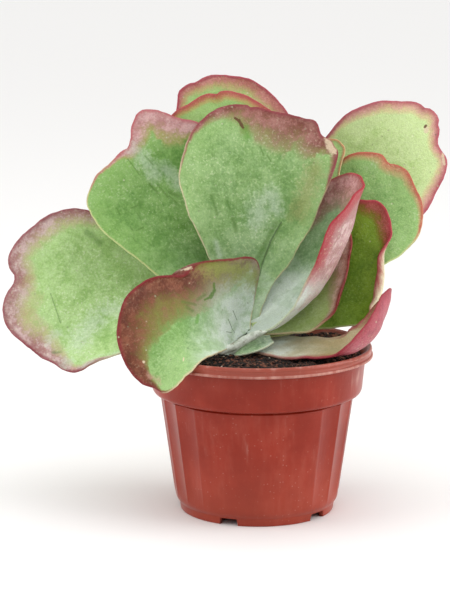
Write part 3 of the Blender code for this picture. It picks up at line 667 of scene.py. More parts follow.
def leaf_piece(name, seed):
    """A leaf's flesh as one closed mesh, with what its skin needs to know as point attributes."""
    form = LEAVES[name]
    look = {**SKIN, **LOOKS[name]}
    line = nicked(rounded(form["edge"]), look["nicks"], seed)
    k = np.linspace(0.0, 1.0, LEAF_ROWS + 1)
    m = np.linspace(0.0, 1.0, LEAF_COLUMNS + 1)
    u_line = (1 - CROWDING) * k + CROWDING * np.sin(0.5 * math.pi * k)
    v_line = (1 - CROWDING) * m + CROWDING * (0.5 - 0.5 * np.cos(math.pi * m))
    u, v = (g.ravel() for g in np.meshgrid(u_line, v_line, indexing="ij"))
    flat = fill_outline(line, u, v)
    middle = settled(flat, form)
    margin, place, way = nearest_on(line, flat)
    border = (u > 1 - 1e-9) | (v < 1e-9) | (v > 1 - 1e-9)
    margin[border] = 0.0
    outward = settled(flat + 0.05 * way, form) - settled(flat - 0.05 * way, form)
    outward /= np.linalg.norm(outward, axis=1)[:, None]
    middle, normal = rolled(middle, facing(flat, form), outward, margin, place, look["curls"])

    # Thickest at the base, and rounded off at the margin
    base_thick, blade_thick = form.get("thick", (BASE_THICK, BLADE_THICK))
    body = base_thick + (blade_thick - base_thick) * smooth(u / 0.5)
    bead = np.sqrt(np.clip(1 - (1 - np.minimum(margin / RIM_ROUND, 1.0)) ** 2, 0.0, 1.0))
    half_thick = RIM_ROUND * bead + (body / 2 - RIM_ROUND) * smooth(margin / SWELL) ** 0.7

    # The long and short waves of a grown blade, more along its margin, and a finely uneven skin
    settle = smooth(flat[:, 1] / WAVES_FROM)
    wave = settle * (0.45 * ripple(flat, 34.0, seed + 2) + 0.16 * ripple(flat, 12.0, seed + 3))
    wave += settle * np.exp(-margin / 9.0) * 0.5 * ripple(flat, 19.0, seed + 4)
    middle = middle + normal * wave[:, None]
    skin = 0.05 * ripple(flat, 5.0, seed + 5)
    upper = middle + normal * (half_thick * (1 + skin))[:, None]
    lower = middle - normal * half_thick[:, None]
    faces, used = two_faced(LEAF_ROWS, LEAF_COLUMNS, border)
    points = np.concatenate([upper, lower])
    points[:len(flat)][border] = middle[border]

    # What the skin reads: blush runs from 0 at the band's inner side to 1 at the margin
    width = np.interp(place, np.linspace(0.0, 1.0, len(look["band"])), look["band"])
    blush = np.clip(1.0 - margin / np.maximum(width, 0.1), 0.0, 1.0) * smooth(width / 2.0)
    share = np.clip(flat[:, 1] / line[:, 1].max(), 0.0, 1.0)
    at_base, on_blade = look["bloom"]
    side = np.concatenate([np.where(border, 0.5, 1.0), np.zeros(len(flat))])
    attributes = {"upper_face": side[used]}
    for key, values in (
            ("margin", margin), ("toward_tip", share), ("blush", blush),
            ("ripe", smooth(width / 5.0)),
            ("bloom", on_blade + (at_base - on_blade) * (1 - smooth(share / 0.5)))):
        attributes[key] = np.concatenate([values, values])[used]
    flat = np.concatenate([flat, flat])[used]
    obj = make_object(f"{name}_leaf", points[used], faces, attributes, flat)
    return dress(obj, leaf_skin(name, look, seed), "leaf_flesh", f"leaf_{name}")


def stroke(tree, flat, x, y, end_x, end_y, half):
    """How far a place is from a stroke between two flat places, in half widths."""
    laid = add(tree, "ShaderNodeMapping",
               {"Vector": flat, "Location": (x / FLAT_SPAN, y / FLAT_SPAN, 0.0),
                "Rotation": (0.0, 0.0, math.atan2(end_y - y, end_x - x)),
                "Scale": (half / FLAT_SPAN, half / FLAT_SPAN, 1.0)},
               vector_type="TEXTURE").outputs["Vector"]
    reach = math.hypot(end_x - x, end_y - y) / half
    near = laid
    for limit, operation in ((0.0, "MAXIMUM"), (reach, "MINIMUM")):
        near = add(tree, "ShaderNodeVectorMath", {0: near, 1: (limit, 0.0, 0.0)},
                   operation=operation).outputs[0]
    return add(tree, "ShaderNodeVectorMath", {0: laid, 1: near},
               operation="DISTANCE").outputs["Value"]


def leaf_skin(name, look, seed):
    """Living succulent leaf: waxy flesh, blushed by sun at the margin, under a powdery white bloom.

    The bloom is matt and hides the green where it is thick, at the base. Where it is rubbed off,
    the skin has a soft waxy gloss.
    """
    material, tree, shader = new_material(f"waxy_{name}_leaf_skin")
    place = add(tree, "ShaderNodeTexCoord").outputs["Object"]
    flat = add(tree, "ShaderNodeUVMap", uv_map="flat").outputs["UV"]
    paint = {key: colour(code) for key, code in look.items() if isinstance(code, str)}
    read = {key: add(tree, "ShaderNodeAttribute", attribute_name=key).outputs["Fac"]
            for key in ("upper_face", "margin", "toward_tip", "blush", "ripe", "bloom")}
    # Clouds 22 to 25 mm across, patches 8 mm, mottling 3 mm, flecks 1.2 mm and grain 0.7 mm
    cloud, patch, mottle, fleck, grain = (
        add(tree, "ShaderNodeTexNoise", {"Vector": place, "Scale": scale, "Detail": detail,
                                         "Roughness": 0.58}).outputs["Fac"]
        for scale, detail in ((40.0 + seed % 7, 4.0), (125.0, 4.0), (310.0, 5.0), (800.0, 3.0),
                              (1400.0, 3.0)))
    # Fibres 2 mm wide and 15 mm long that run with the leaf
    stretched = add(tree, "ShaderNodeMapping", {"Vector": flat, "Location": (0.37 * seed, 0.0, 0.0),
                                                "Scale": (1.0, 0.12, 1.0)}).outputs["Vector"]
    fibre = add(tree, "ShaderNodeTexNoise", {"Vector": stretched, "Scale": 55.0, "Detail": 4.0,
                                             "Roughness": 0.6}).outputs["Fac"]

    # The green: cloudy, and paler towards the tip and the margins
    lift = add(tree, "ShaderNodeMath", {0: read["toward_tip"], 1: 0.35, 2: -0.1},
               **TIMES_PLUS).outputs[0]
    near = add(tree, "ShaderNodeMapRange", {"Value": read["margin"], "From Min": 22.0,
                                            "From Max": 0.0, "To Max": 0.3}, **EASED).outputs[0]
    lift = add(tree, "ShaderNodeMath", {0: lift, 1: near}, operation="ADD").outputs[0]
    for part, weight in ((cloud, 1.1), (patch, 0.7), (fibre, 0.4), (mottle, 0.9), (fleck, 0.9)):
        lift = add(tree, "ShaderNodeMath", {0: part, 1: weight, 2: lift}, **TIMES_PLUS).outputs[0]
    green = add(tree, "ShaderNodeMapRange", {"Value": lift, "From Min": 1.7, "From Max": 2.5},
                **EASED).outputs[0]
    top = add(tree, "ShaderNodeMix", {0: green, 6: paint["deep"], 7: paint["light"]},
              **TINT).outputs[2]

    # The blush: a ragged band, olive where it begins, dusky red in its middle and deep red outside
    stray = -1.05
    for part, weight in ((cloud, 0.8), (patch, 0.5), (mottle, 0.5), (fleck, 0.4)):
        stray = add(tree, "ShaderNodeMath", {0: part, 1: weight, 2: stray}, **TIMES_PLUS).outputs[0]
    inside = add(tree, "ShaderNodeMath", {0: read["blush"], 1: 4.0}, **TIMES,
                 use_clamp=True).outputs[0]
    ragged = add(tree, "ShaderNodeMath", {0: inside, 1: stray, 2: read["blush"]},
                 **TIMES_PLUS).outputs[0]
    turning, turned = (
        add(tree, "ShaderNodeMapRange", {"Value": ragged, "From Min": low, "From Max": high,
                                         "To Max": most}, **EASED).outputs[0]
        for low, high, most in ((0.0, 0.42, 0.85), (*look["turn"], 0.95)))
    edged = add(tree, "ShaderNodeMath", {0: patch, 1: -4.0, 2: read["margin"]},
                **TIMES_PLUS).outputs[0]
    edged = add(tree, "ShaderNodeMapRange", {"Value": edged, "From Min": 0.7, "From Max": -1.9,
                                             "To Max": 0.95}, **EASED).outputs[0]
    edged = add(tree, "ShaderNodeMath", {0: edged, 1: turned}, **TIMES).outputs[0]
    worn = patch
    for part, weight in ((mottle, 0.6), (fleck, 0.5)):
        worn = add(tree, "ShaderNodeMath", {0: part, 1: weight, 2: worn}, **TIMES_PLUS).outputs[0]
    worn = add(tree, "ShaderNodeMapRange", {"Value": worn, "From Min": 0.86, "From Max": 1.24},
               **EASED).outputs[0]
    dusky = add(tree, "ShaderNodeMix", {0: worn, 6: paint["blush"], 7: paint["blush_light"]},
                **TINT).outputs[2]
    for cover, coat in ((turning, paint["olive"]), (turned, dusky), (edged, paint["edge"])):
        top = add(tree, "ShaderNodeMix", {0: cover, 6: top, 7: coat}, **TINT).outputs[2]

    # The under face: its own pair of colours, patches of its own blush, and a red hem
    under = add(tree, "ShaderNodeMapRange", {"Value": lift, "From Min": 1.7, "From Max": 2.4},
                **EASED).outputs[0]
    under = add(tree, "ShaderNodeMix", {0: under, 6: paint["under"], 7: paint["under_light"]},
                **TINT).outputs[2]
    blotch = patch
    for part, weight in ((turning, 0.12), (fibre, 0.9), (mottle, 0.4), (edged, 0.25)):
        blotch = add(tree, "ShaderNodeMath", {0: part, 1: weight, 2: blotch},
                     **TIMES_PLUS).outputs[0]
    begins, full = look["blotch"]
    blotch = add(tree, "ShaderNodeMapRange", {"Value": blotch, "From Min": begins, "From Max": full,
                                              "To Max": 0.6}, **EASED).outputs[0]
    hem = add(tree, "ShaderNodeMath", {0: fibre, 1: 9.0, 2: read["margin"]},
              **TIMES_PLUS).outputs[0]
    begins, full = look["hem"]
    hem = add(tree, "ShaderNodeMapRange", {"Value": hem, "From Min": begins, "From Max": full,
                                           "To Max": 0.85}, **EASED).outputs[0]
    hem = add(tree, "ShaderNodeMath", {0: hem, 1: read["ripe"]}, **TIMES).outputs[0]
    for cover, coat in ((blotch, paint["under_blush"]), (hem, paint["edge"])):
        under = add(tree, "ShaderNodeMix", {0: cover, 6: under, 7: coat}, **TINT).outputs[2]
    coats = [(read["upper_face"], top)]  # what covers the under face, one coat over the other

    # The bloom: cloudy powder, thin over the blush, rubbed away in places
    powder = add(tree, "ShaderNodeMath", {0: cloud, 1: patch}, operation="ADD").outputs[0]
    powder = add(tree, "ShaderNodeMath", {0: mottle, 1: 0.5, 2: powder}, **TIMES_PLUS).outputs[0]
    powder = add(tree, "ShaderNodeMapRange", {"Value": powder, "From Min": 1.0, "From Max": 1.5,
                                              "To Min": 0.45, "To Max": 1.2}, **EASED).outputs[0]
    powder = add(tree, "ShaderNodeMath", {0: powder, 1: read["bloom"]}, **TIMES,
                 use_clamp=True).outputs[0]
    bare = add(tree, "ShaderNodeMath", {0: turned, 1: -0.55, 2: 0.95}, **TIMES_PLUS).outputs[0]
    powder = add(tree, "ShaderNodeMath", {0: powder, 1: bare}, **TIMES).outputs[0]
    coats.append((powder, colour("d3ddd4")))
    # Flecks of thicker powder, crowded in some patches and scarce in others
    fewest, most = 0.12 * look["flecks"], 0.7 * look["flecks"]
    crowd = add(tree, "ShaderNodeMapRange", {"Value": cloud, "From Min": 0.36, "From Max": 0.62,
                                             "To Min": fewest, "To Max": most}, **EASED).outputs[0]
    dusted = add(tree, "ShaderNodeMapRange", {"Value": fleck, "From Min": 0.56, "From Max": 0.64},
                 **EASED).outputs[0]
    for share in (crowd, bare):
        dusted = add(tree, "ShaderNodeMath", {0: dusted, 1: share}, **TIMES).outputs[0]
    coats.append((dusted, colour("d2dfb8")))
    # Scattered pinhead pits and pale dots, soft-edged and about 1 mm across at most
    cell = add(tree, "ShaderNodeTexVoronoi", {"Vector": place, "Scale": 230.0}).outputs
    speck = add(tree, "ShaderNodeMapRange", {"Value": cell["Distance"], "From Min": 0.17,
                                             "From Max": 0.06}, **EASED).outputs[0]
    which = add(tree, "ShaderNodeSeparateColor", {"Color": cell["Color"]}).outputs
    few = add(tree, "ShaderNodeMath", {0: which[0], 1: 0.74}, operation="GREATER_THAN").outputs[0]
    dot = add(tree, "ShaderNodeMath", {0: speck, 1: few}, **TIMES).outputs[0]
    tone = add(tree, "ShaderNodeMix", {0: which[1], 6: colour("4a5a2c"), 7: colour("e4e6c4")},
               **TINT).outputs[2]
    faint = add(tree, "ShaderNodeMath", {0: dot, 1: 0.5}, **TIMES).outputs[0]
    coats.append((faint, tone))

    # Marks that this leaf alone has, ragged at their edges
    for kind, (code, cover, soft) in MARKS.items():
        strokes = [stroke(tree, flat, *mark) for mark in look["marks"].get(kind, ())]
        if not strokes:
            continue
        spot = strokes[0]
        for other in strokes[1:]:
            spot = add(tree, "ShaderNodeMath", {0: spot, 1: other}, operation="MINIMUM").outputs[0]
        spot = add(tree, "ShaderNodeMath", {0: 1.0, 1: spot}, operation="SUBTRACT",
                   use_clamp=True).outputs[0]
        within = add(tree, "ShaderNodeMath", {0: spot, 1: 5.0}, **TIMES,
                     use_clamp=True).outputs[0]
        torn = -1.2
        for part, weight in ((mottle, 1.6), (fleck, 0.8)):
            torn = add(tree, "ShaderNodeMath", {0: part, 1: weight, 2: torn},
                       **TIMES_PLUS).outputs[0]
        torn = add(tree, "ShaderNodeMath", {0: torn, 1: within, 2: spot}, **TIMES_PLUS).outputs[0]
        torn = add(tree, "ShaderNodeMapRange", {"Value": torn, "From Min": 0.05, "From Max": soft,
                                                "To Max": cover}, **EASED).outputs[0]
        torn = add(tree, "ShaderNodeMath", {0: torn, 1: read["upper_face"]}, **TIMES).outputs[0]
        coats.append((torn, colour(code)))

    # The rim: a thin pale line where the leaf is green, and a red one where it is blushed
    line = add(tree, "ShaderNodeMath", {0: patch, 1: 1.2, 2: read["margin"]},
               **TIMES_PLUS).outputs[0]
    line = add(tree, "ShaderNodeMapRange", {"Value": line, "From Min": 1.35, "From Max": 0.65,
                                            "To Max": 0.85}, **EASED).outputs[0]
    rim = add(tree, "ShaderNodeMix", {0: read["ripe"], 6: paint["rim"], 7: paint["edge"]},
              **TINT).outputs[2]
    coats.append((line, rim))

    flesh = under
    for cover, coat in coats:
        flesh = add(tree, "ShaderNodeMix", {0: cover, 6: flesh, 7: coat}, **TINT).outputs[2]
    shade = add(tree, "ShaderNodeMapRange", {"Value": grain, "From Min": 0.3, "From Max": 0.7,
                                             "To Min": 0.86, "To Max": 1.1}).outputs[0]
    flesh = add(tree, "ShaderNodeMix", {0: 1.0, 6: flesh, 7: shade}, blend_type="MULTIPLY",
                **TINT).outputs[2]
    tree.links.new(flesh, shader.inputs["Base Color"])
    matt = add(tree, "ShaderNodeMapRange", {"Value": powder, "To Min": 0.44,
                                            "To Max": 0.78}).outputs[0]
    matt = add(tree, "ShaderNodeMath", {0: dusted, 1: 0.3, 2: matt}, **TIMES_PLUS).outputs[0]
    tree.links.new(matt, shader.inputs["Roughness"])
    for key, value in (("IOR", 1.42), ("Specular IOR Level", 0.32), ("Subsurface Weight", 0.06),
                       ("Subsurface Radius", (1.0, 1.0, 0.4)), ("Subsurface Scale", 0.0015)):
        shader.inputs[key].default_value = value
    relief = grain
    for part, weight in ((fibre, 0.6), (mottle, 1.8), (fleck, 0.7), (dot, -0.8)):
        relief = add(tree, "ShaderNodeMath", {0: part, 1: weight, 2: relief},
                     **TIMES_PLUS).outputs[0]
    bump = add(tree, "ShaderNodeBump", {"Height": relief, "Strength": 0.6, "Distance": 0.0004})
    tree.links.new(bump.outputs["Normal"], shader.inputs["Normal"])
    return material


# Pot


def away_from(angle, middle, count):
    """Degrees from each angle to the nearest of count middles, spread evenly round the pot."""
    pitch = 360.0 / count
    return np.abs((angle - middle + pitch / 2) % pitch - pitch / 2)


def eased_corners(corners):
    """A profile from (radius, height, rounding) corners, each rounded by a quadratic arc."""
    points = []
    for i, (r, z, ease) in enumerate(corners):
        here = np.array((r, z))
        if ease == 0:
            points.append(here)
            continue
        before, after = np.array(corners[i - 1][:2]), np.array(corners[i + 1][:2])
        start = here + (before - here) * min(0.5, ease / np.linalg.norm(before - here))
        end = here + (after - here) * min(0.5, ease / np.linalg.norm(after - here))
        for t in np.linspace(0.0, 1.0, 6):
            points.append((1 - t) ** 2 * start + 2 * t * (1 - t) * here + t * t * end)
    return np.array(points)


def with_steps(profile, longest):
    """The profile with its long straight stretches divided."""
    points = [profile[0]]
    for start, end in zip(profile[:-1], profile[1:]):
        parts = max(1, int(np.ceil(np.linalg.norm(end - start) / longest)))
        for k in range(1, parts + 1):
            points.append(start + (end - start) * k / parts)
    return np.array(points)


def scuffs_and_highlights(points):
    """How hard each point has been rubbed, from 0 to 1, and the lip's painted highlights."""
    radius, height = np.hypot(points[:, 0], points[:, 1]), points[:, 2]
    angle = np.degrees(np.arctan2(points[:, 1], points[:, 0]))
    scuff_and_highlight = np.zeros(len(points))
    for middle, half_turn, low, high, most in SCUFFS:
        across = (angle - middle) / half_turn
        up = (height - (low + high) / 2) / ((high - low) / 2)
        scuff_and_highlight = np.maximum(scuff_and_highlight, most * np.clip(1.0 - np.hypot(across, up), 0.0, 1.0))
    # Painted highlights on the lip's outer beads and on its top
    edge = (radius > RIM_RADIUS - 0.45) & (height > POT_HEIGHT - LIP_HEIGHT - 0.3)
    scuff_and_highlight = np.maximum(scuff_and_highlight, np.where(edge, LIP_BEAD_HIGHLIGHT, 0.0))
    return np.maximum(scuff_and_highlight, np.where(height > POT_HEIGHT - 0.7, LIP_TOP_HIGHLIGHT, 0.0))


def build_pot():
    """The moulded pot: rolled lip, tapering collar, step, fluted body and broken foot ring."""
    under_lip = POT_HEIGHT - LIP_HEIGHT
    corners = [
        (0.0, FOOT_HEIGHT + WALL, 0),
        (BASE_RADIUS - WALL, FOOT_HEIGHT + WALL, 2.0),
        (BODY_RADIUS - WALL, STEP_HEIGHT, 0.8),
        (COLLAR_FOOT_RADIUS - WALL, STEP_HEIGHT + WALL, 0.8),
        (COLLAR_RADIUS - WALL, under_lip, 2.0),
        (RIM_RADIUS - LIP_WIDTH - 0.6, POT_HEIGHT - 1.0, 1.0),
        (RIM_RADIUS - LIP_WIDTH + 0.6, POT_HEIGHT, 0.9),
        (RIM_RADIUS - 0.9, POT_HEIGHT, 0.6),
        (RIM_RADIUS - 0.4, POT_HEIGHT - 1.5, 0.4),
        (RIM_RADIUS - 1.0, POT_HEIGHT - 2.3, 0.4),
        (RIM_RADIUS - 0.9, POT_HEIGHT - 3.7, 0.4),
        (RIM_RADIUS, POT_HEIGHT - 4.2, 0.4),
        (RIM_RADIUS, under_lip + 0.2, 0.5),
        (RIM_RADIUS - 1.8, under_lip - 0.4, 0.6),
        (RIM_RADIUS - 2.2, under_lip + 1.0, 0.6),
        (COLLAR_RADIUS, under_lip + 0.6, 0.5),
        (COLLAR_FOOT_RADIUS, STEP_HEIGHT + 1.6, 1.2),
        (COLLAR_FOOT_RADIUS - 1.2, STEP_HEIGHT, 0.6),
        (BODY_RADIUS - 1.1, STEP_HEIGHT - 0.1, 0.2),
        (BODY_RADIUS - 1.1, STEP_HEIGHT - 1.2, 0.2),
        (BODY_RADIUS - 0.2, STEP_HEIGHT - 1.8, 0.3),
        (BASE_RADIUS, FOOT_HEIGHT + 2.4, 3.4),
        (FOOT_RADIUS - 0.6, FOOT_HEIGHT - 0.4, 0.5),
        (FOOT_RADIUS - 1.2, 0.0, 0.5),
        (FOOT_RADIUS - FOOT_WIDTH + 1.0, 0.0, 0.5),
        (FOOT_RADIUS - FOOT_WIDTH, FOOT_HEIGHT - 0.8, 0.5),
        (PAD_RADIUS + 0.8, FOOT_HEIGHT - 0.8, 0.5),
        (PAD_RADIUS, 0.0, 0.4),
        (0.0, 0.0, 0),
    ]
    profile = with_steps(eased_corners(corners), PROFILE_STEP)
    turn = np.linspace(-180.0, 180.0, POT_STEPS, endpoint=False)
    ring = profile[1:-1]
    angle, radius = np.meshgrid(turn, ring[:, 0])
    height = np.repeat(ring[:, 1][:, None], POT_STEPS, axis=1)
    past = (away_from(angle, PANEL_MIDDLE, PANELS) - PANEL_HALF) / SCALLOP_WIDTH
    scallop = np.where(past > 0, np.abs(np.sin(math.pi * past)) ** 0.8, 0.0)
    wall = (BASE_RADIUS + (BODY_RADIUS - BASE_RADIUS) * (height - FOOT_HEIGHT)
            / (STEP_HEIGHT - FOOT_HEIGHT))
    outside = ((np.abs(radius - wall) < 0.9) & (height > FOOT_HEIGHT + 0.8)
               & (height < STEP_HEIGHT - 0.1))
    fade = smooth((height - FOOT_HEIGHT - 1.0) / 9.0)
    radius = radius - np.where(outside, FLUTE_DEPTH * scallop * fade, 0.0)
    gap = away_from(angle, FOOT_GAP_MIDDLE, FOOT_GAPS) < FOOT_GAP_HALF
    foot = (radius > PAD_RADIUS + 4.0) & (height < FOOT_HEIGHT - 1.0) & gap
    height = np.where(foot, FOOT_HEIGHT - 1.0 + 0.1 * height, height)
    radians = np.radians(angle)
    # A moulding is never quite round
    outward = np.stack([np.cos(radians).ravel(), np.sin(radians).ravel()], 1)
    radius = radius + (0.12 * ripple(outward, 1.3, 5)).reshape(radius.shape)
    grid = np.stack([radius * np.cos(radians), radius * np.sin(radians), height], -1)
    points = np.concatenate([grid.reshape(-1, 3), [(0.0, 0.0, profile[0][1])], [(0.0, 0.0, 0.0)]])
    index = np.arange(grid.shape[0] * POT_STEPS).reshape(-1, POT_STEPS)
    faces = ring_faces(index, len(points) - 2, len(points) - 1)
    obj = make_object("nursery_pot", points, faces, {"scuff_and_highlight": scuffs_and_highlights(points)})
    return dress(obj, pot_plastic(), "pot_plastic", "pot")


def pot_plastic():
    """Polypropylene, injection-moulded in a terracotta red: a satin skin, dulled by handling.

    Hard water and dust leave pale specks, faint runs down the wall and chalky scuffs.
    """
    material, tree, shader = new_material("moulded_terracotta_polypropylene")
    place = add(tree, "ShaderNodeTexCoord").outputs["Object"]
    cloud = add(tree, "ShaderNodeTexNoise", {"Vector": place, "Scale": 32.0, "Detail": 5.0,
                                             "Roughness": 0.6}).outputs["Fac"]
    tall = add(tree, "ShaderNodeMapping", {"Vector": place,
                                           "Scale": (1.0, 1.0, 0.12)}).outputs["Vector"]
    run = add(tree, "ShaderNodeTexNoise", {"Vector": tall, "Scale": 260.0, "Detail": 4.0,
                                           "Roughness": 0.6}).outputs["Fac"]
    grit = add(tree, "ShaderNodeTexNoise", {"Vector": place, "Scale": 900.0,
                                            "Detail": 3.0}).outputs["Fac"]
    base = add(tree, "ShaderNodeMapRange", {"Value": cloud, "From Min": 0.35, "From Max": 0.7},
               **EASED).outputs[0]
    base = add(tree, "ShaderNodeMix", {0: base, 6: colour("842311"), 7: colour("972e1b")},
               **TINT).outputs[2]
    # Dust film, thicker in the runs
    film = add(tree, "ShaderNodeMath", {0: run, 1: cloud}, **TIMES).outputs[0]
    film = add(tree, "ShaderNodeMapRange", {"Value": film, "From Min": 0.2, "From Max": 0.5,
                                            "To Max": 0.1}, **EASED).outputs[0]
    # The lower wall paler towards the bottom, and the whole lip paler with a painted highlight
    up = add(tree, "ShaderNodeSeparateXYZ", {"Vector": place}).outputs["Z"]
    paler_low, lip_highlight = (
        add(tree, "ShaderNodeMapRange", {"Value": up, "From Min": none, "From Max": full,
                                         "To Max": most}, **EASED).outputs[0]
        for none, full, most in ((0.05, 0.0, 0.25), (0.0815, 0.0835, 0.22)))
    # Chalky scuffs, and painted highlights on the lip's outer beads and top in the same mask
    rubbed = add(tree, "ShaderNodeAttribute", attribute_name="scuff_and_highlight").outputs["Fac"]
    rubbed = add(tree, "ShaderNodeMath", {0: run, 1: 1.6, 2: rubbed}, **TIMES_PLUS).outputs[0]
    rubbed = add(tree, "ShaderNodeMapRange", {"Value": rubbed, "From Min": 1.0, "From Max": 1.9,
                                              "To Max": 0.5}, **EASED).outputs[0]
    # Specks of lime and dust, soft-edged and about 0.7 mm across at most
    cell = add(tree, "ShaderNodeTexVoronoi", {"Vector": place, "Scale": 620.0}).outputs
    speck = add(tree, "ShaderNodeMapRange", {"Value": cell["Distance"], "From Min": 0.3,
                                             "From Max": 0.12}, **EASED).outputs[0]
    which = add(tree, "ShaderNodeSeparateColor", {"Color": cell["Color"]}).outputs[0]
    few = add(tree, "ShaderNodeMath", {0: which, 1: 0.8}, operation="GREATER_THAN").outputs[0]
    dusty = add(tree, "ShaderNodeMapRange", {"Value": cloud, "From Min": 0.42, "From Max": 0.6,
                                             "To Min": 0.04, "To Max": 0.17}, **EASED).outputs[0]
    for share in (few, dusty):
        speck = add(tree, "ShaderNodeMath", {0: speck, 1: share}, **TIMES).outputs[0]
    for cover, code in ((film, "c98a78"), (paler_low, "b5604c"), (lip_highlight, "c98a78"), (rubbed, "d9b3a6"),
                        (speck, "d8b9ab")):
        base = add(tree, "ShaderNodeMix", {0: cover, 6: base, 7: colour(code)}, **TINT).outputs[2]
    tree.links.new(base, shader.inputs["Base Color"])
    rough = 0.28
    for part, weight in ((film, 1.2), (rubbed, 0.3)):
        rough = add(tree, "ShaderNodeMath", {0: part, 1: weight, 2: rough}, **TIMES_PLUS).outputs[0]
    tree.links.new(rough, shader.inputs["Roughness"])
    shader.inputs["IOR"].default_value = 1.49
    shader.inputs["Specular IOR Level"].default_value = 0.25
    height = run
    for part, weight in ((grit, 0.5), (speck, 0.8)):
        height = add(tree, "ShaderNodeMath", {0: part, 1: weight, 2: height},
                     **TIMES_PLUS).outputs[0]
    bump = add(tree, "ShaderNodeBump", {"Height": height, "Strength": 0.25, "Distance": 0.0003})
    tree.links.new(bump.outputs["Normal"], shader.inputs["Normal"])
    return material


# Soil


def soil_height(x, y):
    """The peat's surface: a low mound with lumps, and a heap at the right."""
    reach = np.hypot(x, y) / SOIL_RADIUS
    mound = SOIL_MIDDLE - (SOIL_MIDDLE - SOIL_EDGE) * np.clip(reach, 0, 1) ** 2
    spots = np.stack([x, y], 1)
    lumps = 0.4 * ripple(spots, 16.0, 41) + 0.35 * ripple(spots, 5.0, 42)
    (heap_x, heap_y), (wide, deep) = HEAP_MIDDLE, HEAP_WIDTH
    heap = HEAP_HEIGHT * np.exp(-((x - heap_x) / wide) ** 2 - ((y - heap_y) / deep) ** 2)
    return mound - SOIL_SUNK + (heap + lumps) * smooth((1.0 - reach) / 0.1)


def peat(name, dark, light, rough):
    """Moist peat and composted bark: matt, brown where it dries, with painted shade in its hollows.
    """
    material, tree, shader = new_material(name)
    place = add(tree, "ShaderNodeTexCoord").outputs["Object"]
    lump = add(tree, "ShaderNodeTexNoise", {"Vector": place, "Scale": 420.0, "Detail": 5.0,
                                            "Roughness": 0.65}).outputs["Fac"]
    # Crumbs 1.7 mm across, each damp or dry on its own, and painted shade where the bump's lumps
    # are low
    cell = add(tree, "ShaderNodeTexVoronoi", {"Vector": place, "Scale": 600.0}).outputs["Color"]
    cell = add(tree, "ShaderNodeSeparateColor", {"Color": cell}).outputs[0]
    dry_and_raised = add(tree, "ShaderNodeMath", {0: cell, 1: 0.6, 2: lump}, **TIMES_PLUS).outputs[0]
    dry_and_raised = add(tree, "ShaderNodeMapRange", {"Value": dry_and_raised, "From Min": 0.78, "From Max": 1.14},
              **EASED).outputs[0]
    tone = add(tree, "ShaderNodeMix", {0: dry_and_raised, 6: colour(dark), 7: colour(light)},
               **TINT).outputs[2]
    tree.links.new(tone, shader.inputs["Base Color"])
    shader.inputs["Roughness"].default_value = rough
    bump = add(tree, "ShaderNodeBump", {"Height": lump, "Strength": 0.8, "Distance": 0.0006})
    tree.links.new(bump.outputs["Normal"], shader.inputs["Normal"])
    return material


def build_soil():
    """The peat bed down the pot's neck, and the crumbs, fibres and chips that lie on it."""
    rings = np.linspace(0.4, SOIL_RADIUS, SOIL_RINGS)
    turn = np.linspace(0.0, 2 * math.pi, SOIL_STEPS, endpoint=False)
    r, a = np.meshgrid(rings, turn, indexing="ij")
    x, y = (r * np.cos(a)).ravel(), (r * np.sin(a)).ravel()
    top = np.stack([x, y, soil_height(x, y)], 1)
    foot = SOIL_EDGE - SOIL_DEPTH
    wall = np.stack([x[-SOIL_STEPS:], y[-SOIL_STEPS:], np.full(SOIL_STEPS, foot)], 1)
    middle_top = [(0.0, 0.0, float(soil_height(np.zeros(1), np.zeros(1))[0]))]
    points = np.concatenate([top, wall, middle_top, [(0.0, 0.0, foot)]])
    index = np.arange((SOIL_RINGS + 1) * SOIL_STEPS).reshape(-1, SOIL_STEPS)
    faces = ring_faces(index, len(points) - 2, len(points) - 1)
    bed = make_object("peat_bed", points, faces)
    ground = make_object("scatter_ground", top, faces[:(SOIL_RINGS - 1) * SOIL_STEPS])
    dress(bed, peat("damp_peat", "100805", "4c2c21", 0.95), "peat", "soil")
    tree = scatter_tree()
    # Each kind's name and bit, how many lie on a square metre, their sizes, the seed and the finish
    kinds = [
        ("peat_crumbs", crumb(0.9, 0.55, 1), 30.0e4, (0.5, 1.7), 3,
         peat("crumbled_peat", "120906", "80503c", 0.95)),
        ("bark_fibres", fibre_bit(), 1.6e4, (0.4, 0.9), 4,
         peat("bark_fibre", "3a261b", "7d5c45", 0.9)),
        ("bark_chips", crumb(1.3, 0.35, 1), 7.0e4, (0.6, 1.5), 5,
         peat("composted_bark", "1c0e09", "96664c", 0.85)),
        ("perlite_grains", crumb(0.8, 0.8, 2), 0.35e4, (0.7, 1.3), 6,
         peat("expanded_perlite", "c9bda4", "efe8d8", 0.85)),
    ]
    for name, bit, density, scale, seed, material in kinds:
        scattered = scatter(name, ground, bit, tree, density, scale, seed, material)
        dress(scattered, material, "peat")
        bpy.data.objects.remove(bit)
    bpy.data.objects.remove(ground)


def crumb(size, flatness, detail):
    """A rough lump, flattened to this share of its width."""
    shape = bmesh.new()
    bmesh.ops.create_icosphere(shape, subdivisions=detail, radius=size * MM)
    draw = np.random.default_rng(int(size * 100))
    for vertex in shape.verts:
        vertex.co *= draw.uniform(0.7, 1.25)
        vertex.co.z *= flatness
    mesh = bpy.data.meshes.new("crumb")
    shape.to_mesh(mesh)
    shape.free()
    return new_object("crumb", mesh)


